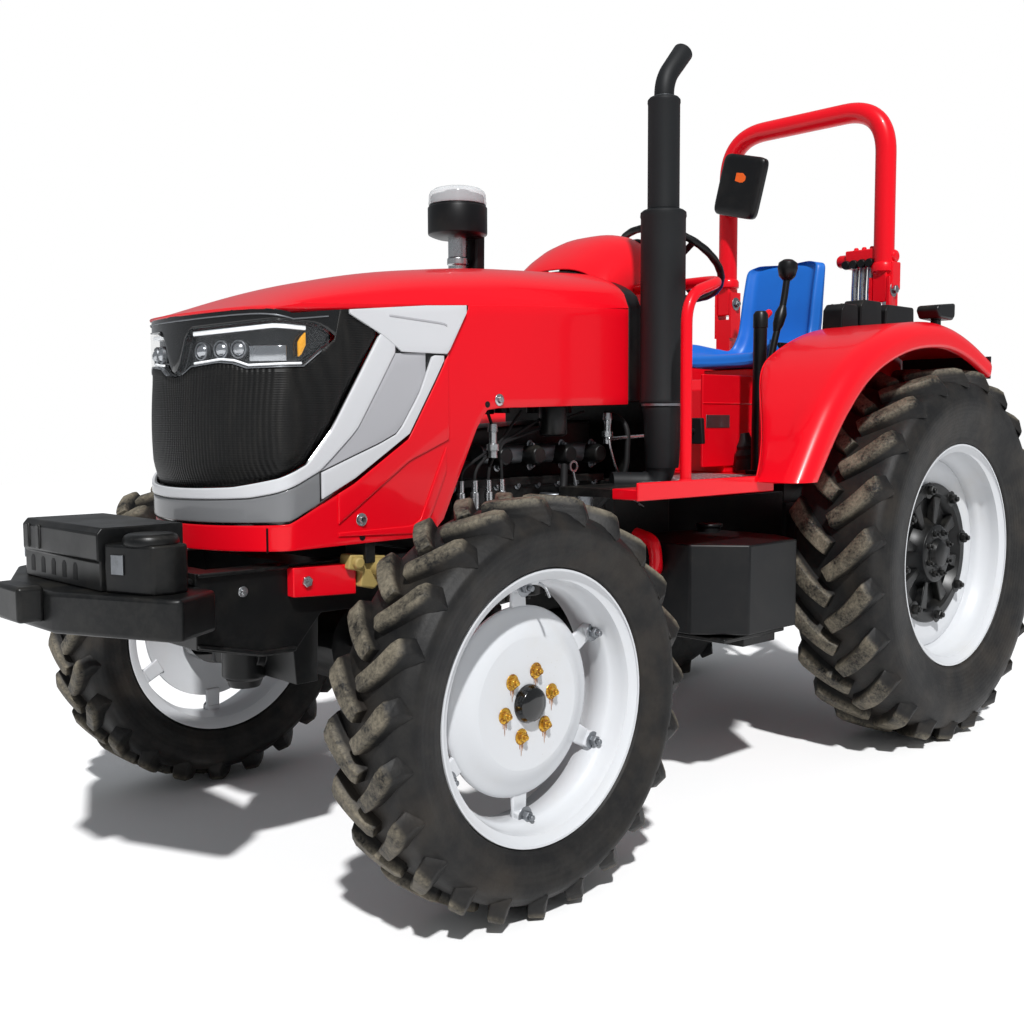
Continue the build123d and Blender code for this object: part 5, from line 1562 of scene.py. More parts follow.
@dataclass
class Cowl:
    """Red dash cowl behind the hood, its black bulkhead and the moulded dash."""

    half: float = 0.252
    rows: Sequence[tuple[float, float]] = ((0.15, 1.675), (0.105, 1.716), (0.06, 1.752), (0.015, 1.78),
        (-0.03, 1.799), (-0.062, 1.806), (-0.09, 1.806))

    def build(self) -> None:
        """Makes the cowl, its seal, the firewall and the dash with its dials."""
        rows = []
        for x, crown in self.rows:
            row = []
            for k in range(33):
                turn = radians(-90 + 180 * k / 32)
                y = self.half * copysign(abs(sin(turn)) ** 0.82, sin(turn))
                drop = 0.15 * (1 - abs(cos(turn)) ** 0.9)
                row.append(Vector((x, y, crown - drop)))
            row = [Vector((x, -self.half, 1.24)), *row, Vector((x, self.half, 1.24))]
            rows.append(row)
        Form().skin(rows).emit("cowl_skin", RED, "dash_cowl", shell=0.006, bevel=0.004, steps=3, sharp=50)
        fill = Form()
        fill.prism([(p.y * 0.985, p.z - 0.008) for p in rows[0]], 0.14, 0.152, AHEAD)
        outline = [(-0.3585, 1.238), *[(-0.3585 + 0.717 * k / 32, self.arch(-1 + k / 16)) for k in range(33)],
            (0.3585, 1.238)]
        fill.prism(outline, 0.096, 0.168, AHEAD)
        fill.emit("cowl_bulkhead", MOULDED, slot="red_paint", bevel=0.004)
        Form().pipe([Vector((0.166, y, z)) for y, z in outline], 0.0065, 12).emit("hood_rear_seal", RUBBER,
            slot="red_paint")
        wall = Form()
        wall.block((0.02, -0.33, DECK), (0.04, 0.33, 1.24))
        wall.block((0.02, -0.25, 1.238), (0.04, 0.25, 1.56))
        for y in (-0.21, 0, 0.21):
            wall.block((0.01, y - 0.012, 1), (0.021, y + 0.012, 1.22))
        wall.emit("firewall", BLACK_IRON, slot="red_paint", bevel=0.004)
        self.dash()

    @staticmethod
    def arch(share: float) -> float:
        """Height of the bulkhead's arch across the tractor."""
        return 1.519 + 0.126 * sqrt(max(0, 1 - abs(share) ** ARCH))

    def dash(self) -> None:
        """Binnacle with two dials, a small dial and switches, on the driver's side."""
        shell = Form()
        shell.prism(((-0.086, 1.785), (-0.15, 1.775), (-0.175, 1.74), (-0.247, 1.56), (-0.236, 1.42),
            (-0.215, 1.245), (-0.086, 1.24)), -0.19, 0.19)
        shell.prism(((-0.0905, 1.242), (-0.213, 1.242), (-0.19, DECK), (-0.0905, DECK)), -0.12, 0.12)
        shell.emit("dash_binnacle", MOULDED, "steering_column", bevel=0.018, steps=4)
        up = (Vector((-0.17, 0, 1.745)) - Vector((-0.24, 0, 1.575))).normalized()
        out = Vector((-up.z, 0, up.x)).normalized()
        heart = Vector((-0.205, 0, 1.66)) + out * 0.002
        rings, faces, hands = Form(), Form(), Form()
        for y, radius in ((-0.085, 0.048), (0.085, 0.048), (0, 0.026)):
            spot = heart + LEFT * y
            rings.revolve([(0, radius), (0.008, radius), (0.01, radius - 0.003), (0.006, radius - 0.007),
                (0, radius - 0.006)], spot, out, 48)
            faces.turned([(0, radius - 0.006), (1, radius - 0.006)], spot, spot + out * 0.003, 40)
            for k in range(13):
                turn = radians(-130 + 260 * k / 12)
                way = up * cos(turn) + LEFT * sin(turn)
                hands.rod(spot + out * 0.0035 + way * (radius * 0.66),
                    spot + out * 0.0035 + way * (radius * 0.8), 0.0009, 6)
            hands.rod(spot + out * 0.004,
                spot + out * 0.004 + (up - LEFT * 0.7).normalized() * radius * 0.6, 0.0013, 8)
        rings.emit("dial_rings", DULL_STEEL, slot="moulded_black", bevel=0.0006)
        faces.emit("dial_faces", GLOSS_BLACK, slot="moulded_black")
        # The ticks and needles take the lamps' glowing finish: they shine with painted light, though no lamp
        # is in them.
        hands.emit("dial_ticks_painted_glow", LED, slot="moulded_black")
        knobs = Form()
        for y in (-0.14, -0.1, 0.1, 0.14):
            spot = heart + LEFT * y - up * 0.095
            knobs.turned([(0, 0.012), (0.8, 0.011), (1, 0.008)], spot - out * 0.01, spot + out * 0.016, 20)
        knobs.emit("dash_switches", MOULDED, bevel=0.001)
        Form().turned([(0, 0.036), (0.55, 0.034), (0.6, 0.028), (0.97, 0.026), (1, 0.024)],
            STEERING_HEART - STEERING_AXIS * 0.42, STEERING_HEART - STEERING_AXIS * 0.0415,
            32).emit("column_tube", MOULDED, bevel=0.001)


@dataclass
class Rails:
    """Grab rails from the platform to the cowl, with foot flanges."""

    radius: float = 0.017

    def build(self) -> None:
        """Makes both rails."""
        rail, feet, bolts = Form(), Form(), Form()
        rail.pipe(bent([(0.205, 0.615, 0.987), (0.205, 0.615, 1.54), (0, 0.6, 1.6), (0, 0.2525, 1.6)], 0.085,
            10), self.radius, 24)
        feet.prism(((0.168, 0.578), (0.242, 0.578), (0.242, 0.64), (0.168, 0.64)), DECK, 0.992, UP)
        feet.turned([(0, 0.024), (1, 0.019)], (0.205, 0.615, 0.991), (0.205, 0.615, 1.004), 24)
        for x, y in ((0.18, 0.59), (0.23, 0.59), (0.18, 0.63), (0.23, 0.63)):
            bolts.bolt((x, y, 0.992), UP, 0.013, 0.006)
        rail.both_sides().emit("grab_rails", RED, "handrails")
        feet.both_sides().emit("grab_rail_feet", RED, bevel=0.001)
        bolts.both_sides().emit("grab_rail_bolts", DULL_STEEL, bevel=0.0005)


@dataclass
class Rollbar:
    """Folding rollover bar: bent tube, foot sleeves, pins and the mirror on its right leg."""

    x: float = -1.37
    y: float = 0.375
    top: float = 2.45
    tube: float = 0.04
    pivot: float = 1.69

    def build(self) -> None:
        """Makes the hoop, the sleeves, the pins and the mirror."""
        crown = self.top - self.tube
        hoop = Form()
        hoop.pipe(bent([(self.x, -self.y, 1.755), (self.x, -self.y, crown), (self.x, self.y, crown),
            (self.x, self.y, 1.755)], 0.185, 18), self.tube, 32)
        hoop.emit("rollbar_tube", RED, "rollbar_hoop", body="rollbar", bevel=0.001)
        sleeves = Form()
        sleeves.block((self.x - 0.033, self.y - 0.03, self.pivot - 0.05),
            (self.x + 0.033, self.y + 0.03, self.pivot + 0.075))
        sleeves.turned([(0, 0.0485), (0.7, 0.0485), (1, 0.041)], (self.x, self.y, 1.76),
            (self.x, self.y, 1.8), 36)
        Form().block((self.x - 0.03, self.y - 0.032, 1.48),
            (self.x + 0.03, self.y + 0.032, 1.622)).both_sides().emit("rollbar_feet", RED, bevel=0.004)
        sleeves.both_sides().emit("rollbar_sleeves", RED, body="rollbar", bevel=0.004)
        pins = Form()
        pins.bolt((self.x, self.y + 0.0445, self.pivot), LEFT, 0.03, 0.014)
        pins.bolt((self.x, self.y - 0.0445, self.pivot), -LEFT, 0.03, 0.014, stud=0.006)
        for z in (self.pivot - 0.105, self.pivot - 0.135):
            pins.bolt((self.x, self.y + 0.0445, z), LEFT, 0.02, 0.009)
        pins.both_sides().emit("rollbar_pins", DULL_STEEL, bevel=0.001)
        self.mirror()

    def mirror(self) -> None:
        """The mirror's head, glass, orange mark and clamp."""
        lean = Matrix.Rotation(radians(-15), 3, "X")
        heart = Vector((self.x + self.tube + 0.0328, -0.26, self.top - 0.27))

        def squared(share: float) -> float:
            """Draws a round outline out to a rounded square."""
            return copysign(abs(share) ** 0.22, share)

        def placed(form: Form) -> Form:
            """Leans a form made about the origin and puts it in place."""
            bmesh.ops.rotate(form.bm, verts=form.bm.verts, cent=(0, 0, 0), matrix=lean)
            bmesh.ops.translate(form.bm, verts=form.bm.verts, vec=heart)
            return form

        head = Form()
        rows = []
        for x, inset in ((-0.0222, 0.016), (-0.0205, 0.007), (-0.014, 0.001), (0.006, 0), (0.015, 0.004),
                (0.021, 0.016), (0.0228, 0.04)):
            rows.append([Vector((x, squared(cos(a)) * (0.11 - inset), squared(sin(a)) * (0.13 - inset)))
                for a in circle(48)])
        placed(head.skin(rows, around=True, ends=True)).emit("mirror_head", MOULDED, "mirror",
            body="rollbar", sharp=70)
        mark = Form()
        mark.prism(((-0.02, 0.052), (0.014, 0.054), (0.022, 0.048), (0.032, 0.04), (0.032, 0.026),
            (0.022, 0.016), (0.006, 0.014), (-0.02, 0.018)), 0.0226, 0.0238, AHEAD)
        placed(mark).emit("mirror_mark", ORANGE, body="rollbar", bevel=0.0004)
        glass = Form().prism(((-0.092, -0.112), (0.092, -0.112), (0.092, 0.112), (-0.092, 0.112)), -0.0232,
            -0.0221, AHEAD)
        placed(glass).emit("mirror_glass", STEEL, body="rollbar", slot="moulded_black", bevel=0.0004)
        clamp = Form()
        clamp.revolve([(-0.022, self.tube - 0.001), (-0.022, self.tube + 0.005), (0.022, self.tube + 0.005),
            (0.022, self.tube - 0.001)], (self.x, -self.y, self.top - 0.3), UP, 40)
        clamp.block((self.x + self.tube - 0.004, -self.y - 0.018, self.top - 0.32),
            (self.x + self.tube + 0.016, -self.y + 0.022, self.top - 0.28))
        clamp.emit("mirror_clamp", BLACK_IRON, body="rollbar", slot="moulded_black", bevel=0.002)


# ---- engine bay, tank and running gear ----


@dataclass
class EngineDressing:
    """What shows under the open side: head, covers, pump, injector lines, filters, pulleys, dipstick."""

    half: float = 0.24

    def build(self) -> None:
        """Adds the parts bolted to the block on both sides."""
        self.castings()
        self.lines()
        self.filters()

    def castings(self) -> None:
        """Ribs, head bolts, side covers and the manifold's ports."""
        iron, bolts = Form(), Form()
        for i in range(4):
            x = 0.225 + 0.135 * i
            iron.turned([(0, 0.03), (0.8, 0.03), (1, 0.024)], (x, self.half - 0.01, 1.075),
                (x, self.half + 0.062, 1.075), 24)
            iron.turned([(0, 0.024), (0.7, 0.022), (1, 0.014)], (x + 0.04, self.half - 0.06, 1.2),
                (x + 0.04, self.half - 0.06, 1.262), 20)
            bolts.bolt((x + 0.04, self.half - 0.06, 1.262), UP, 0.018, 0.012, stud=0.018)
            for dz in (-0.032, 0.032):
                bolts.bolt((x, self.half + 0.018, 1.075 + dz), LEFT, 0.014, 0.01, stud=0.008)
        for i in range(9):
            x = 0.15 + 0.085 * i
            iron.block((x - 0.006, self.half - 0.004, 0.64), (x + 0.006, self.half + 0.01, 0.78))
            bolts.bolt((x + 0.04, self.half, 0.8), LEFT, 0.013, 0.007)
            bolts.bolt((x + 0.04, self.half, 0.985), LEFT, 0.013, 0.007)
        iron.block((0.15, self.half - 0.004, 0.985), (0.9, self.half + 0.008, 1.01))
        iron.both_sides().emit("engine_castings", ENGINE_IRON, bevel=0.003)
        bolts.both_sides().emit("engine_bolts", DULL_STEEL, slot="engine_steel", bevel=0.0006)

    def lines(self) -> None:
        """Injector lines in the dark rubber finish as painted shade of the engine bay, the throttle rod, the
        dipstick and hoses.
        """
        steel, rubber = Form(), Form()
        for i in range(4):
            x = 0.65 + 0.052 * i
            # The injector lines are steel parts in the dark rubber finish: their darkness is painted shade of
            # the engine bay.
            rubber.pipe(bent([(x, 0.3, 1), (x, 0.3, 1.04), (x - 0.05 * i, 0.292, 1.11),
                (0.265 + 0.135 * i, 0.262, 1.205)], 0.03, 6), 0.0045, 10)
            steel.turned([(0, 0.012), (0.6, 0.012), (0.62, 0.009), (1, 0.009)], (x, 0.3, 0.925),
                (x, 0.3, 1.01), 12)
        for x, z in ((0.7, 1.118), (0.215, 1.15)):
            steel.turned([(0, 0.013), (0.2, 0.013), (0.22, 0.018), (0.4, 0.018), (0.42, 0.011), (0.75, 0.011),
                (0.78, 0.015), (1, 0.013)], (x, 0.318, z - 0.045), (x, 0.318, z + 0.05), 14)
        steel.pipe(bent([(0.215, 0.33, 1.185), (0.225, 0.332, 1.11), (0.19, 0.335, 1.02),
            (0.11, 0.335, 0.925), (0.06, 0.335, 0.9)], 0.03, 8), 0.0038, 10)
        steel.rod((0.225, 0.33, 1.12), (0.06, 0.336, 1.128), 0.006, 12)
        steel.pipe(bent([(0.34, 0.3, 0.78), (0.345, 0.33, 0.9), (0.35, 0.3, 1.02)], 0.05, 8), 0.004, 10)
        steel.revolve([(-0.0025, 0.012), (-0.0025, 0.018), (0.0025, 0.018), (0.0025, 0.012)],
            (0.35, 0.3, 1.038), LEFT, 24)
        rubber.pipe(bent([(0.52, 0.29, 0.76), (0.52, 0.35, 0.8), (0.44, 0.345, 0.96), (0.38, 0.29, 1.04)],
            0.06, 8), 0.011, 14)
        rubber.pipe(bent([(0.88, 0.2, 1.23), (0.9, 0.28, 1.18), (0.86, 0.285, 1), (0.8, 0.23, 0.9)],
            0.07, 8), 0.02, 18)
        rubber.pipe(bent([(0.15, 0.25, 1.2), (0.13, 0.33, 1.18), (0.15, 0.34, 1), (0.2, 0.262, 0.9)], 0.06,
            8), 0.009, 12)
        steel.emit("engine_lines", STEEL, slot="engine_steel")
        rubber.emit("engine_hoses_and_shaded_lines", RUBBER, slot="engine_iron")

    def filters(self) -> None:
        """Oil and fuel filters, the pump's body, the alternator and the pulleys."""
        iron, steel = Form(), Form()
        can = [(0, 0.03), (0.04, 0.04), (0.08, 0.042), (0.85, 0.042), (0.9, 0.04), (0.95, 0.044), (1, 0.036)]
        iron.turned(can, (0.545, 0.3, 0.665), (0.545, 0.3, 0.8), 36)
        iron.turned(can, (0.43, 0.292, 1.13), (0.43, 0.292, 1.25), 36)
        iron.block((0.64, 0.245, 0.86), (0.84, 0.325, 0.93))
        iron.block((0.62, 0.245, 0.82), (0.86, 0.3, 0.862))
        iron.turned([(0, 0.045), (0.1, 0.06), (0.9, 0.06), (1, 0.045)], (0.74, 0.19, 1.16),
            (0.89, 0.19, 1.16), 36)
        for turn in circle(10):
            spot = Vector((0.815, 0.19 + 0.059 * cos(turn), 1.16 + 0.059 * sin(turn)))
            iron.rod(spot - AHEAD * 0.06, spot + AHEAD * 0.06, 0.004, 8)
        iron.block((0.26, 0.248, 0.83), (0.42, 0.3, 0.96))
        iron.turned([(0, 0.036), (0.7, 0.036), (1, 0.022)], (0.12, 0.292, 0.7), (0.33, 0.292, 0.7), 30)
        iron.emit("engine_filters", ENGINE_IRON, bevel=0.004)
        steel.turned([(0, 0.052), (0.25, 0.052), (0.3, 0.04), (0.7, 0.04), (0.75, 0.052), (1, 0.052)],
            (0.893, 0.19, 1.16), (0.918, 0.19, 1.16), 36)
        steel.turned([(0, 0.09), (0.25, 0.09), (0.3, 0.078), (0.7, 0.078), (0.75, 0.09), (1, 0.09)],
            (0.922, 0, 0.9), (0.948, 0, 0.9), 40)
        for z in (0.89, 0.7):
            steel.bolt((0.3, 0.3, z), LEFT, 0.018, 0.01)
        steel.emit("engine_pulleys", DULL_STEEL, slot="engine_steel", bevel=0.001)


@dataclass
class Chassis:
    """Bolts, brackets and small parts along the frame, tank and axles."""

    def build(self) -> None:
        """Adds the small parts from front to rear."""
        self.frame_parts()
        self.tank_parts()
        self.cab_parts()
        self.valve()

    def frame_parts(self) -> None:
        """Weight bracket bolts, side frame bolts and the steering cylinder's tan bracket."""
        bolts = Form()
        for x, z in ((1.474, 0.767), (1.01, 0.79), (0.96, 0.72), (0.86, 0.79)):
            bolts.bolt((x, 0.262, z), LEFT, 0.014, 0.007)
        bolts.bolt((1.311, 0.292, 0.779), LEFT, 0.026, 0.008, washer=False)
        bolts.both_sides().emit("frame_bolts", STEEL, bevel=0.0008)
        self.weights()
        Form().bolt((1.633, 0.2152, 0.838), LEFT, 0.016, 0.009).both_sides().emit("weight_side_bolts", BRASS,
            slot="black_iron", bevel=0.0008)
        tan = Form()
        tan.prism(((1.075, 0.826), (1.19, 0.838), (1.196, 0.8), (1.15, 0.79), (1.16, 0.752), (1.115, 0.742),
            (1.086, 0.762)), 0.264, 0.31)
        tan.turned([(0, 0.024), (1, 0.021)], (1.105, 0.3, 0.8), (1.105, 0.335, 0.8), 28)
        tan.turned([(0, 0.015), (1, 0.015)], (1.17, 0.3, 0.815), (1.17, 0.326, 0.815), 20)
        tan.both_sides().emit("steering_bracket", TAN_PAINT, bevel=0.005, steps=3)
        ledge = Form()
        ledge.prism(((1.35, 0.822), (1.598, 0.822), (1.598, 0.812), (1.35, 0.812)), 0.258, 0.274)
        ledge.prism(((1.33, 0.604), (1.425, 0.604), (1.598, 0.644), (1.598, 0.654), (1.425, 0.616),
            (1.33, 0.616)), 0.258, 0.272)
        ledge.both_sides().emit("frame_ledges", BLACK_IRON, bevel=0.003)
        Form().turned([(0, 0.05), (0.1, 0.06), (0.75, 0.06), (0.8, 0.05), (1, 0.04)], (1.32, 0, 0.585),
            (1.32, 0, 0.468), 36).emit("axle_pivot_cap", BLACK_IRON, bevel=0.003)

    def weights(self) -> None:
        """The front weights: tray with swept corners, slotted block, corner columns and tow block."""
        tray = Form()
        tray.prism(((1.601, -0.36), (1.728, -0.44), (1.752, -0.42), (1.883, -0.13), (1.883, 0.13),
            (1.752, 0.42), (1.728, 0.44), (1.601, 0.36)), 0.7, 0.795, UP)
        tray.block((1.601, -0.262, 0.792), (1.7, 0.262, 0.812))
        tray.prism(((1.88, -0.085), (1.94, -0.078), (1.94, 0.078), (1.88, 0.085)), 0.722, 0.805, UP)
        tray.emit("weight_tray", BLACK_IRON, "front_weights", bevel=0.01, steps=4)
        block = Form()
        block.prism(((1.601, 0.796), (1.806, 0.796), (1.806, 0.862), (1.812, 0.866), (1.812, 0.926),
            (1.8, 0.94), (1.601, 0.94)), -0.214, 0.214)
        for y in (-0.19, -0.125):
            block.block((1.809, y, 0.87), (1.816, y + 0.02, 0.93))
        block.emit("weight_block", BLACK_IRON, bevel=0.006, steps=3)
        slots = Form()
        for k in range(5):
            y = -0.168 + 0.062 * k
            slots.prism(((y - 0.011, 0.812), (y + 0.011, 0.812), (y + 0.011, 0.844), (y + 0.004, 0.852),
                (y - 0.004, 0.852), (y - 0.011, 0.844)), 1.802, 1.8068, AHEAD)
        slots.emit("weight_slots", RUBBER, slot="black_iron")
        column, pad = Form(), Form()
        column.prism(((1.8, 0.222), (1.762, 0.33), (1.748, 0.352), (1.705, 0.362), (1.66, 0.345),
            (1.64, 0.215), (1.78, 0.208)), 0.794, 0.905, UP)
        column.turned([(0, 0.062), (0.6, 0.062), (1, 0.054)], (1.718, 0.285, 0.9), (1.718, 0.285, 0.928), 48)
        pad.prism(((1.793, 0.2455), (1.796, 0.2466), (1.784, 0.2806), (1.781, 0.2796)), 0.838, 0.882, UP)
        column.both_sides().emit("weight_columns", BLACK_IRON, bevel=0.01, steps=4)
        pad.both_sides().emit("weight_pads", DULL_STEEL, slot="black_iron", bevel=0.0008)

    def tank_parts(self) -> None:
        """Tank cap, straps, lower bracket and the red pipe at its front."""
        tank = Form()
        tank.prism(((0.11, 0.2353), (0.11, 0.56), (-0.005, 0.699), (-0.262, 0.699), (-0.35, 0.56),
            (-0.35, 0.3), (-0.215, 0.2353)), 0.522, 0.799, UP)
        tank.emit("tank_body", TANK, "fuel_tank", bevel=0.006, steps=3, sharp=24)
        Form().turned([(0, 0.04), (0.6, 0.04), (0.65, 0.046), (0.95, 0.046), (1, 0.04)], (-0.29, 0.335,
            0.796), (-0.29, 0.335, 0.826), 36).emit("tank_cap", MOULDED, slot="tank_plastic", bevel=0.002)
        under = Form()
        under.block((-0.265, 0.3, 0.498), (0.06, 0.655, 0.512))
        under.block((-0.235, 0.56, 0.47), (-0.06, 0.64, 0.5))
        under.block((-0.215, 0.42, 0.512), (-0.175, 0.66, 0.523))
        under.emit("tank_bracket", BLACK_IRON, bevel=0.004)
        Form().pipe(bent([(0.15, 0.38, 0.822), (0.15, 0.452, 0.806), (0.142, 0.456, 0.735),
            (0.112, 0.43, 0.712)], 0.03, 8), 0.021, 20).emit("tank_front_pipe", RED)

    def cab_parts(self) -> None:
        """Platform, its mats, side panel, levers and pedals."""
        floor, mats = Form(), Form()
        rim, back, inner = 0.654, -0.079, 0.4485
        floor.prism(((0.469, 0.56), (0.469, rim), (back, rim), (back, inner), (-0.8, inner), (-0.8, 0),
            (0.16, 0), (0.16, 0.56)), 0.955, 0.985, UP)
        floor.prism(((0.4695, 0.953), (0.4695, 1.004), (back - 0.115, 1.004), (back - 0.115, 0.953)),
            rim - 0.006, rim + 0.0015)
        floor.both_sides().emit("platform_floor", RED, "platform", bevel=0.003)
        mats.prism(((0.462, 0.346), (0.462, 0.562), (0.164, 0.562), (0.164, 0.346)), 0.957, 0.983, UP)
        mats.prism(((0.17, 0), (0.17, 0.562), (0.161, 0.562), (0.161, 0)), 0.95, 0.9868, UP)
        mats.prism(((0.15, 0.01), (0.15, 0.31), (-0.42, 0.31), (-0.42, 0.01)), 0.9852, 0.9885, UP)
        mats.both_sides().emit("platform_mats", BLACK_IRON, bevel=0.002)
        panel = Form()
        panel.block((-0.8, 0.196, 1.01), (-0.42, 0.206, 1.34))
        panel.block((-0.8, 0.196, 1.235), (-0.42, 0.2085, 1.24))
        panel.emit("side_panel", RED, bevel=0.003)
        Form().block((-0.58, 0.2055, 1.15), (-0.44, 0.2085, 1.196)).emit("side_blank_plate", DULL_STEEL,
            slot="moulded_black", bevel=0.001)
        post = Form()
        post.pipe(bent([(-0.56, 0.345, 0.986), (-0.56, 0.345, 1.1), (-0.566, 0.345, 1.52)], 0.04,
            6), 0.024, 20)
        post.turned([(0, 0.026), (0.8, 0.026), (1, 0.018)], (-0.566, 0.345, 1.5), (-0.567, 0.345, 1.56), 24)
        post.block((-0.596, 0.315, DECK), (-0.524, 0.375, 1))
        post.emit("lever_post", MOULDED, "controls", bevel=0.002)
        lever = Form()
        lever.pipe(bent([(-0.69, 0.285, 1.3), (-0.74, 0.292, 1.48), (-0.78, 0.298, 1.6),
            (-0.802, 0.3, 1.712)], 0.05, 8), 0.0125, 14)
        lever.turned([(0, 0.016), (0.2, 0.03), (0.6, 0.037), (0.85, 0.034), (1, 0.018)], (-0.798, 0.3, 1.69),
            (-0.806, 0.3, 1.765), 28)
        lever.turned([(0, 0.012), (0.3, 0.02), (0.7, 0.022), (1, 0.013)], (-0.745, 0.292, 1.5),
            (-0.778, 0.298, 1.595), 24)
        lever.emit("shift_lever", MOULDED, bevel=0.001)
        Form().turned([(0, 0.05), (0.15, 0.048), (0.3, 0.04), (0.4, 0.043), (0.55, 0.033),
            (0.65, 0.035), (0.8, 0.024), (1, 0.016)], (-0.625, 0.262, 1), (-0.612, 0.252, 1.13),
            32).emit("lever_boot", RUBBER)
        Form().turned([(0, 0.013), (1, 0.013)], (-0.59, 0.345, 1.54), (-0.64, 0.33, 1.56),
            16).emit("lever_catch", RED, slot="moulded_black", bevel=0.001)
        pads, arms = Form(), Form()
        for y, foot in ((0.16, 0.1203), (0.25, 0.1203), (-0.25, -0.1203)):
            pads.prism(((-0.33, 1.095), (-0.312, 1.095), (-0.302, 1.185), (-0.322, 1.185)),
                y - 0.038, y + 0.038)
            arms.pipe(bent([(-0.312, y, 1.14), (-0.16, y, 1.14), (-0.16, foot, 1.14)], 0.035, 6), 0.01, 12)
        pads.emit("pedal_pads", RUBBER, bevel=0.005, steps=3)
        arms.emit("pedal_arms", BLACK_IRON)

    def valve(self) -> None:
        """Remote valve on the left post: cast body, spools, chromed risers and levers."""
        body, chrome, dark = Form(), Form(), Form()
        body.turned([(0, 0.02), (0.04, 0.026), (0.96, 0.026), (1, 0.02)], (-1.385, 0.165, 1.822),
            (-1.385, 0.425, 1.822), 24)
        body.block((-1.425, 0.215, 1.785), (-1.35, 0.345, 1.858))
        body.block((-1.415, 0.372, 1.69), (-1.35, 0.425, 1.8))
        body.block((-1.425, 0.221, 1.452), (-1.345, 0.34, 1.56))
        for y in (0.245, 0.28, 0.315):
            body.turned([(0, 0.012), (1, 0.01)], (-1.385, y, 1.856), (-1.385, y, 1.872), 6)
            chrome.pipe(bent([(-1.38, y, 1.555), (-1.376, y, 1.69), (-1.385, y, 1.79)], 0.03, 6), 0.0135, 18)
            chrome.turned([(0, 0.018), (0.45, 0.018), (0.5, 0.015), (1, 0.014)], (-1.38, y, 1.556),
                (-1.379, y, 1.6), 6)
        chrome.pipe(bent([(-1.36, 0.398, 1.7), (-1.345, 0.398, 1.6), (-1.36, 0.34, 1.53)], 0.04,
            6), 0.013, 18)
        for y in (0.228, 0.262, 0.298, 0.332):
            dark.turned([(0, 0.016), (0.5, 0.019), (1, 0.016)], (-1.352, y, 1.8), (-1.326, y, 1.8), 16)
            dark.pipe(bent([(-1.398, y, 1.56), (-1.4, y, 1.68), (-1.404, y, 1.788)], 0.03, 5), 0.01, 14)
        body.emit("remote_valve_body", RED, "remote_valve", bevel=0.005, steps=3)
        chrome.emit("remote_valve_pipes", STEEL)
        dark.emit("remote_valve_fittings", BLACK_IRON, bevel=0.001)


@dataclass
class TailLamp:
    """Tail lamp in a black housing on the fender, red and amber lens rearwards."""

    side: Side

    def build(self) -> None:
        """Makes the housing, the lens and the stalk."""
        y, name = 0.745 * self.side.value, self.side.word
        form = Form()
        form.prism(((-1.135, 1.592), (-1.01, 1.58), (-1, 1.562), (-1.022, 1.534), (-1.118, 1.53),
            (-1.135, 1.545)), y - 0.042, y + 0.042)
        form.block((-1.092, y - 0.012, 1.5), (-1.048, y + 0.012, 1.536))
        nodes = ("tail_lamps",) if self.side is Side.LEFT else ()
        form.emit(f"tail_lamp_housing_{name}", MOULDED, *nodes, bevel=0.008, steps=3)
        for label, z, finish in (("red", 1.549, RED_LENS), ("amber", 1.573, AMBER)):
            Form().prism(((-1.1352, z - 0.01), (-1.132, z - 0.01), (-1.132, z + 0.01), (-1.1352, z + 0.01)), y
                - 0.034, y + 0.034).emit(f"tail_lens_{label}_{name}", finish, slot="lamp_glass", bevel=0.001)


@dataclass
class Consoles:
    """Three moulded switch boxes on the left fender."""

    def build(self) -> None:
        """Makes the boxes with their slots."""
        boxes, slots = Form(), Form()
        for x, length, high in ((-0.86, 0.12, 1.592), (-1.01, 0.16, 1.614), (-1.225, 0.23, 1.608)):
            half = length / 2
            boxes.prism(((x - half, 1.47), (x - half + 0.006, high - 0.006), (x - half + 0.014, high),
                (x + half - 0.03, high), (x + half - 0.008, high - 0.022), (x + half, 1.47)), 0.446, 0.526)
            slots.block((x - half * 0.5, 0.462, high - 0.002), (x + half * 0.4, 0.468, high + 0.0012))
            slots.block((x - half * 0.5, 0.5, high - 0.002), (x + half * 0.4, 0.506, high + 0.0012))
        boxes.emit("console_boxes", MOULDED, "fender_consoles", bevel=0.01, steps=4)
        slots.emit("console_slots", RUBBER)


@dataclass
class Hitch:
    """Pins and balls of the three-point hitch, the balls on the lower links' body."""

    def build(self) -> None:
        """Adds hitch pins and ball joints."""
        pins = Form()
        pins.bolt((-1.29, 0.2372, 0.44), LEFT, 0.034, 0.012)
        pins.bolt((-1.29, 0.2155, 0.93), LEFT, 0.04, 0.014)
        pins.both_sides().emit("hitch_pivot_pins", DULL_STEEL, bevel=0.001)
        balls = Form()
        balls.revolve([(-0.0225, 0.0147), (-0.0225, 0.022), (-0.012, 0.0265), (0.012, 0.0265),
            (0.0225, 0.022), (0.0225, 0.0147)], (-1.904, 0.33, 0.5), LEFT, 40)
        balls.both_sides().emit("lower_link_balls", STEEL, body="lower_links", bevel=0.0008)


# ---- everything dressed from the CAD form ----

SOFT_EASE: dict[str, float] = {"battery_box": 0.01, "front_frame": 0.004, "side_plates": 0.003,
    "engine": 0.008, "engine_accessories": 0.005, "gearbox": 0.008, "rear_axle": 0.008, "front_axle": 0.006,
    "knuckle_left": 0.006, "knuckle_right": 0.006, "seat_pedestal": 0.008, "drawbar": 0.004,
    "lower_links": 0.004, "lift_arms": 0.004, "lift_rods": 0.003, "rollbar_base": 0.004}


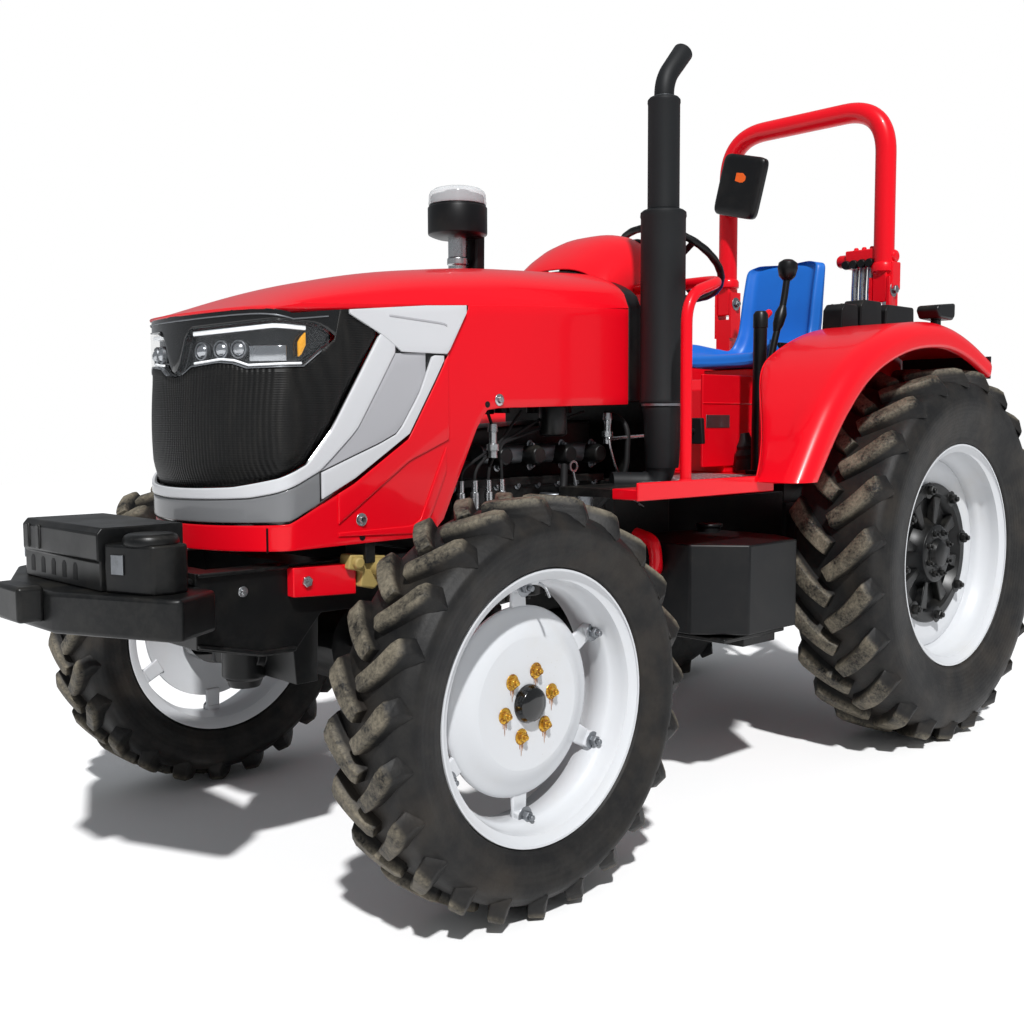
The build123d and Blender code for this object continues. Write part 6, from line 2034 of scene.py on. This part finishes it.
def dress_nodes() -> None:
    """Gives every remaining CAD node an eased copy or its own finish."""
    groups = frame["record"]["behaviour"]["bodies"]
    bodies = {node: body for body, nodes in groups.items() for node in nodes}
    for row in frame["record"]["subparts"]:
        node, slot = row["node"], row["material_slot"]
        finish = FRONT_TREAD if node.startswith("tyre_front") else SLOT_FINISH[slot]
        if node in SOFT_EASE:
            Softened(node, bodies.get(node, "chassis"), finish, slot, SOFT_EASE[node]).build()
            continue
        piece = frame["nodes"][node]
        if not piece.data.materials:
            piece.data.materials.append(finish.material())
        for slot_row in piece.material_slots:
            slot_row.material = finish.material()
        log.info("%s keeps its form in %s", node, finish.name)


# ---- studio ----


@dataclass
class Studio:
    """Floor, soft sun, pale surroundings and the camera."""

    spot: Vector = field(default_factory=lambda: Vector((2.913, 2.7069, 1.1725)))
    yaw: float = -133.74
    pitch: float = -4.45
    roll: float = -0.24
    lens: float = 40.53
    sun_from: Vector = field(default_factory=lambda: Vector((0.52, 0.66, 1)))
    sun_strength: float = 3.7
    sky_strength: float = 0.32

    def build(self) -> None:
        """Makes the floor, the light and the camera."""
        self.floor()
        self.light()
        self.camera()

    def floor(self) -> None:
        """A pale floor that keeps the shadow and shows white to the camera."""
        mesh = Form().skin([[Vector((x, y, -0.001)) for x in (-20, 20)] for y in (-20, 20)]).mesh("floor")
        nodes = Nodes("pale_floor")
        speckle = nodes.noise(3, 3)
        nodes.set(Base_Color=nodes.mix(speckle * 0.2, tint("fdfdfd"), tint("f4f4f4")), Roughness=0.9)
        mesh.materials.append(nodes.material)
        linked("floor", mesh)

    def light(self) -> None:
        """A soft sun and even pale surroundings, white behind the tractor."""
        lamp = bpy.data.lights.new("sun", "SUN")
        lamp.energy, lamp.angle = self.sun_strength, radians(2.5)
        linked("sun", lamp).rotation_euler = self.sun_from.to_track_quat("Z", "Y").to_euler()
        world = bpy.data.worlds.new("surroundings")
        bpy.context.scene.world = world
        world.use_nodes = True
        tree = world.node_tree
        tree.nodes.clear()
        path = tree.nodes.new("ShaderNodeLightPath")
        plain, white = tree.nodes.new("ShaderNodeBackground"), tree.nodes.new("ShaderNodeBackground")
        plain.inputs["Strength"].default_value = self.sky_strength
        plain.inputs["Color"].default_value = (*tint("f2f6fb"), 1)
        white.inputs["Color"].default_value = (1, 1, 1, 1)
        blend = tree.nodes.new("ShaderNodeMixShader")
        out = tree.nodes.new("ShaderNodeOutputWorld")
        tree.links.new(path.outputs["Is Camera Ray"], blend.inputs["Fac"])
        tree.links.new(plain.outputs["Background"], blend.inputs[1])
        tree.links.new(white.outputs["Background"], blend.inputs[2])
        tree.links.new(blend.outputs["Shader"], out.inputs["Surface"])
        bpy.context.scene.view_settings.view_transform = "Standard"

    def camera(self) -> None:
        """The camera, at the height of the lamps and ahead of the left front wheel."""
        lens = bpy.data.cameras.new("camera")
        lens.lens, lens.sensor_width = self.lens, 36.0
        eye = linked("camera", lens)
        yaw, pitch, roll = (radians(a) for a in (self.yaw, self.pitch, self.roll))
        look = Vector((cos(yaw) * cos(pitch), sin(yaw) * cos(pitch), sin(pitch)))
        turn = look.to_track_quat("-Z", "Y").to_matrix() @ Matrix.Rotation(roll, 3, "Z")
        eye.matrix_world = Matrix.Translation(self.spot) @ turn.to_4x4()
        bpy.context.scene.camera = eye


def main() -> None:
    """Builds every sub-assembly in order, then the studio."""
    logging.basicConfig(level=logging.INFO, format="%(message)s")
    for side in Side:
        Tyre("front", side, FRONT, FRONT_TREAD).build()
        Tyre("rear", side, REAR, REAR_TREAD).build()
        FrontWheel(side, FRONT.centre(side)).build()
        RearWheel(side, REAR.centre(side)).build()
    for made in (Nose(), Muffler(), AirIntake(), SteeringWheel(), Seat()):
        made.build()
    for side in Side:
        Fender(side).build()
        TailLamp(side).build()
    for made in (Cowl(), Rails(), Rollbar(), EngineDressing(), Chassis(), Consoles(), Hitch()):
        made.build()
    dress_nodes()
    Studio().build()


if __name__ == "__main__":
    main()
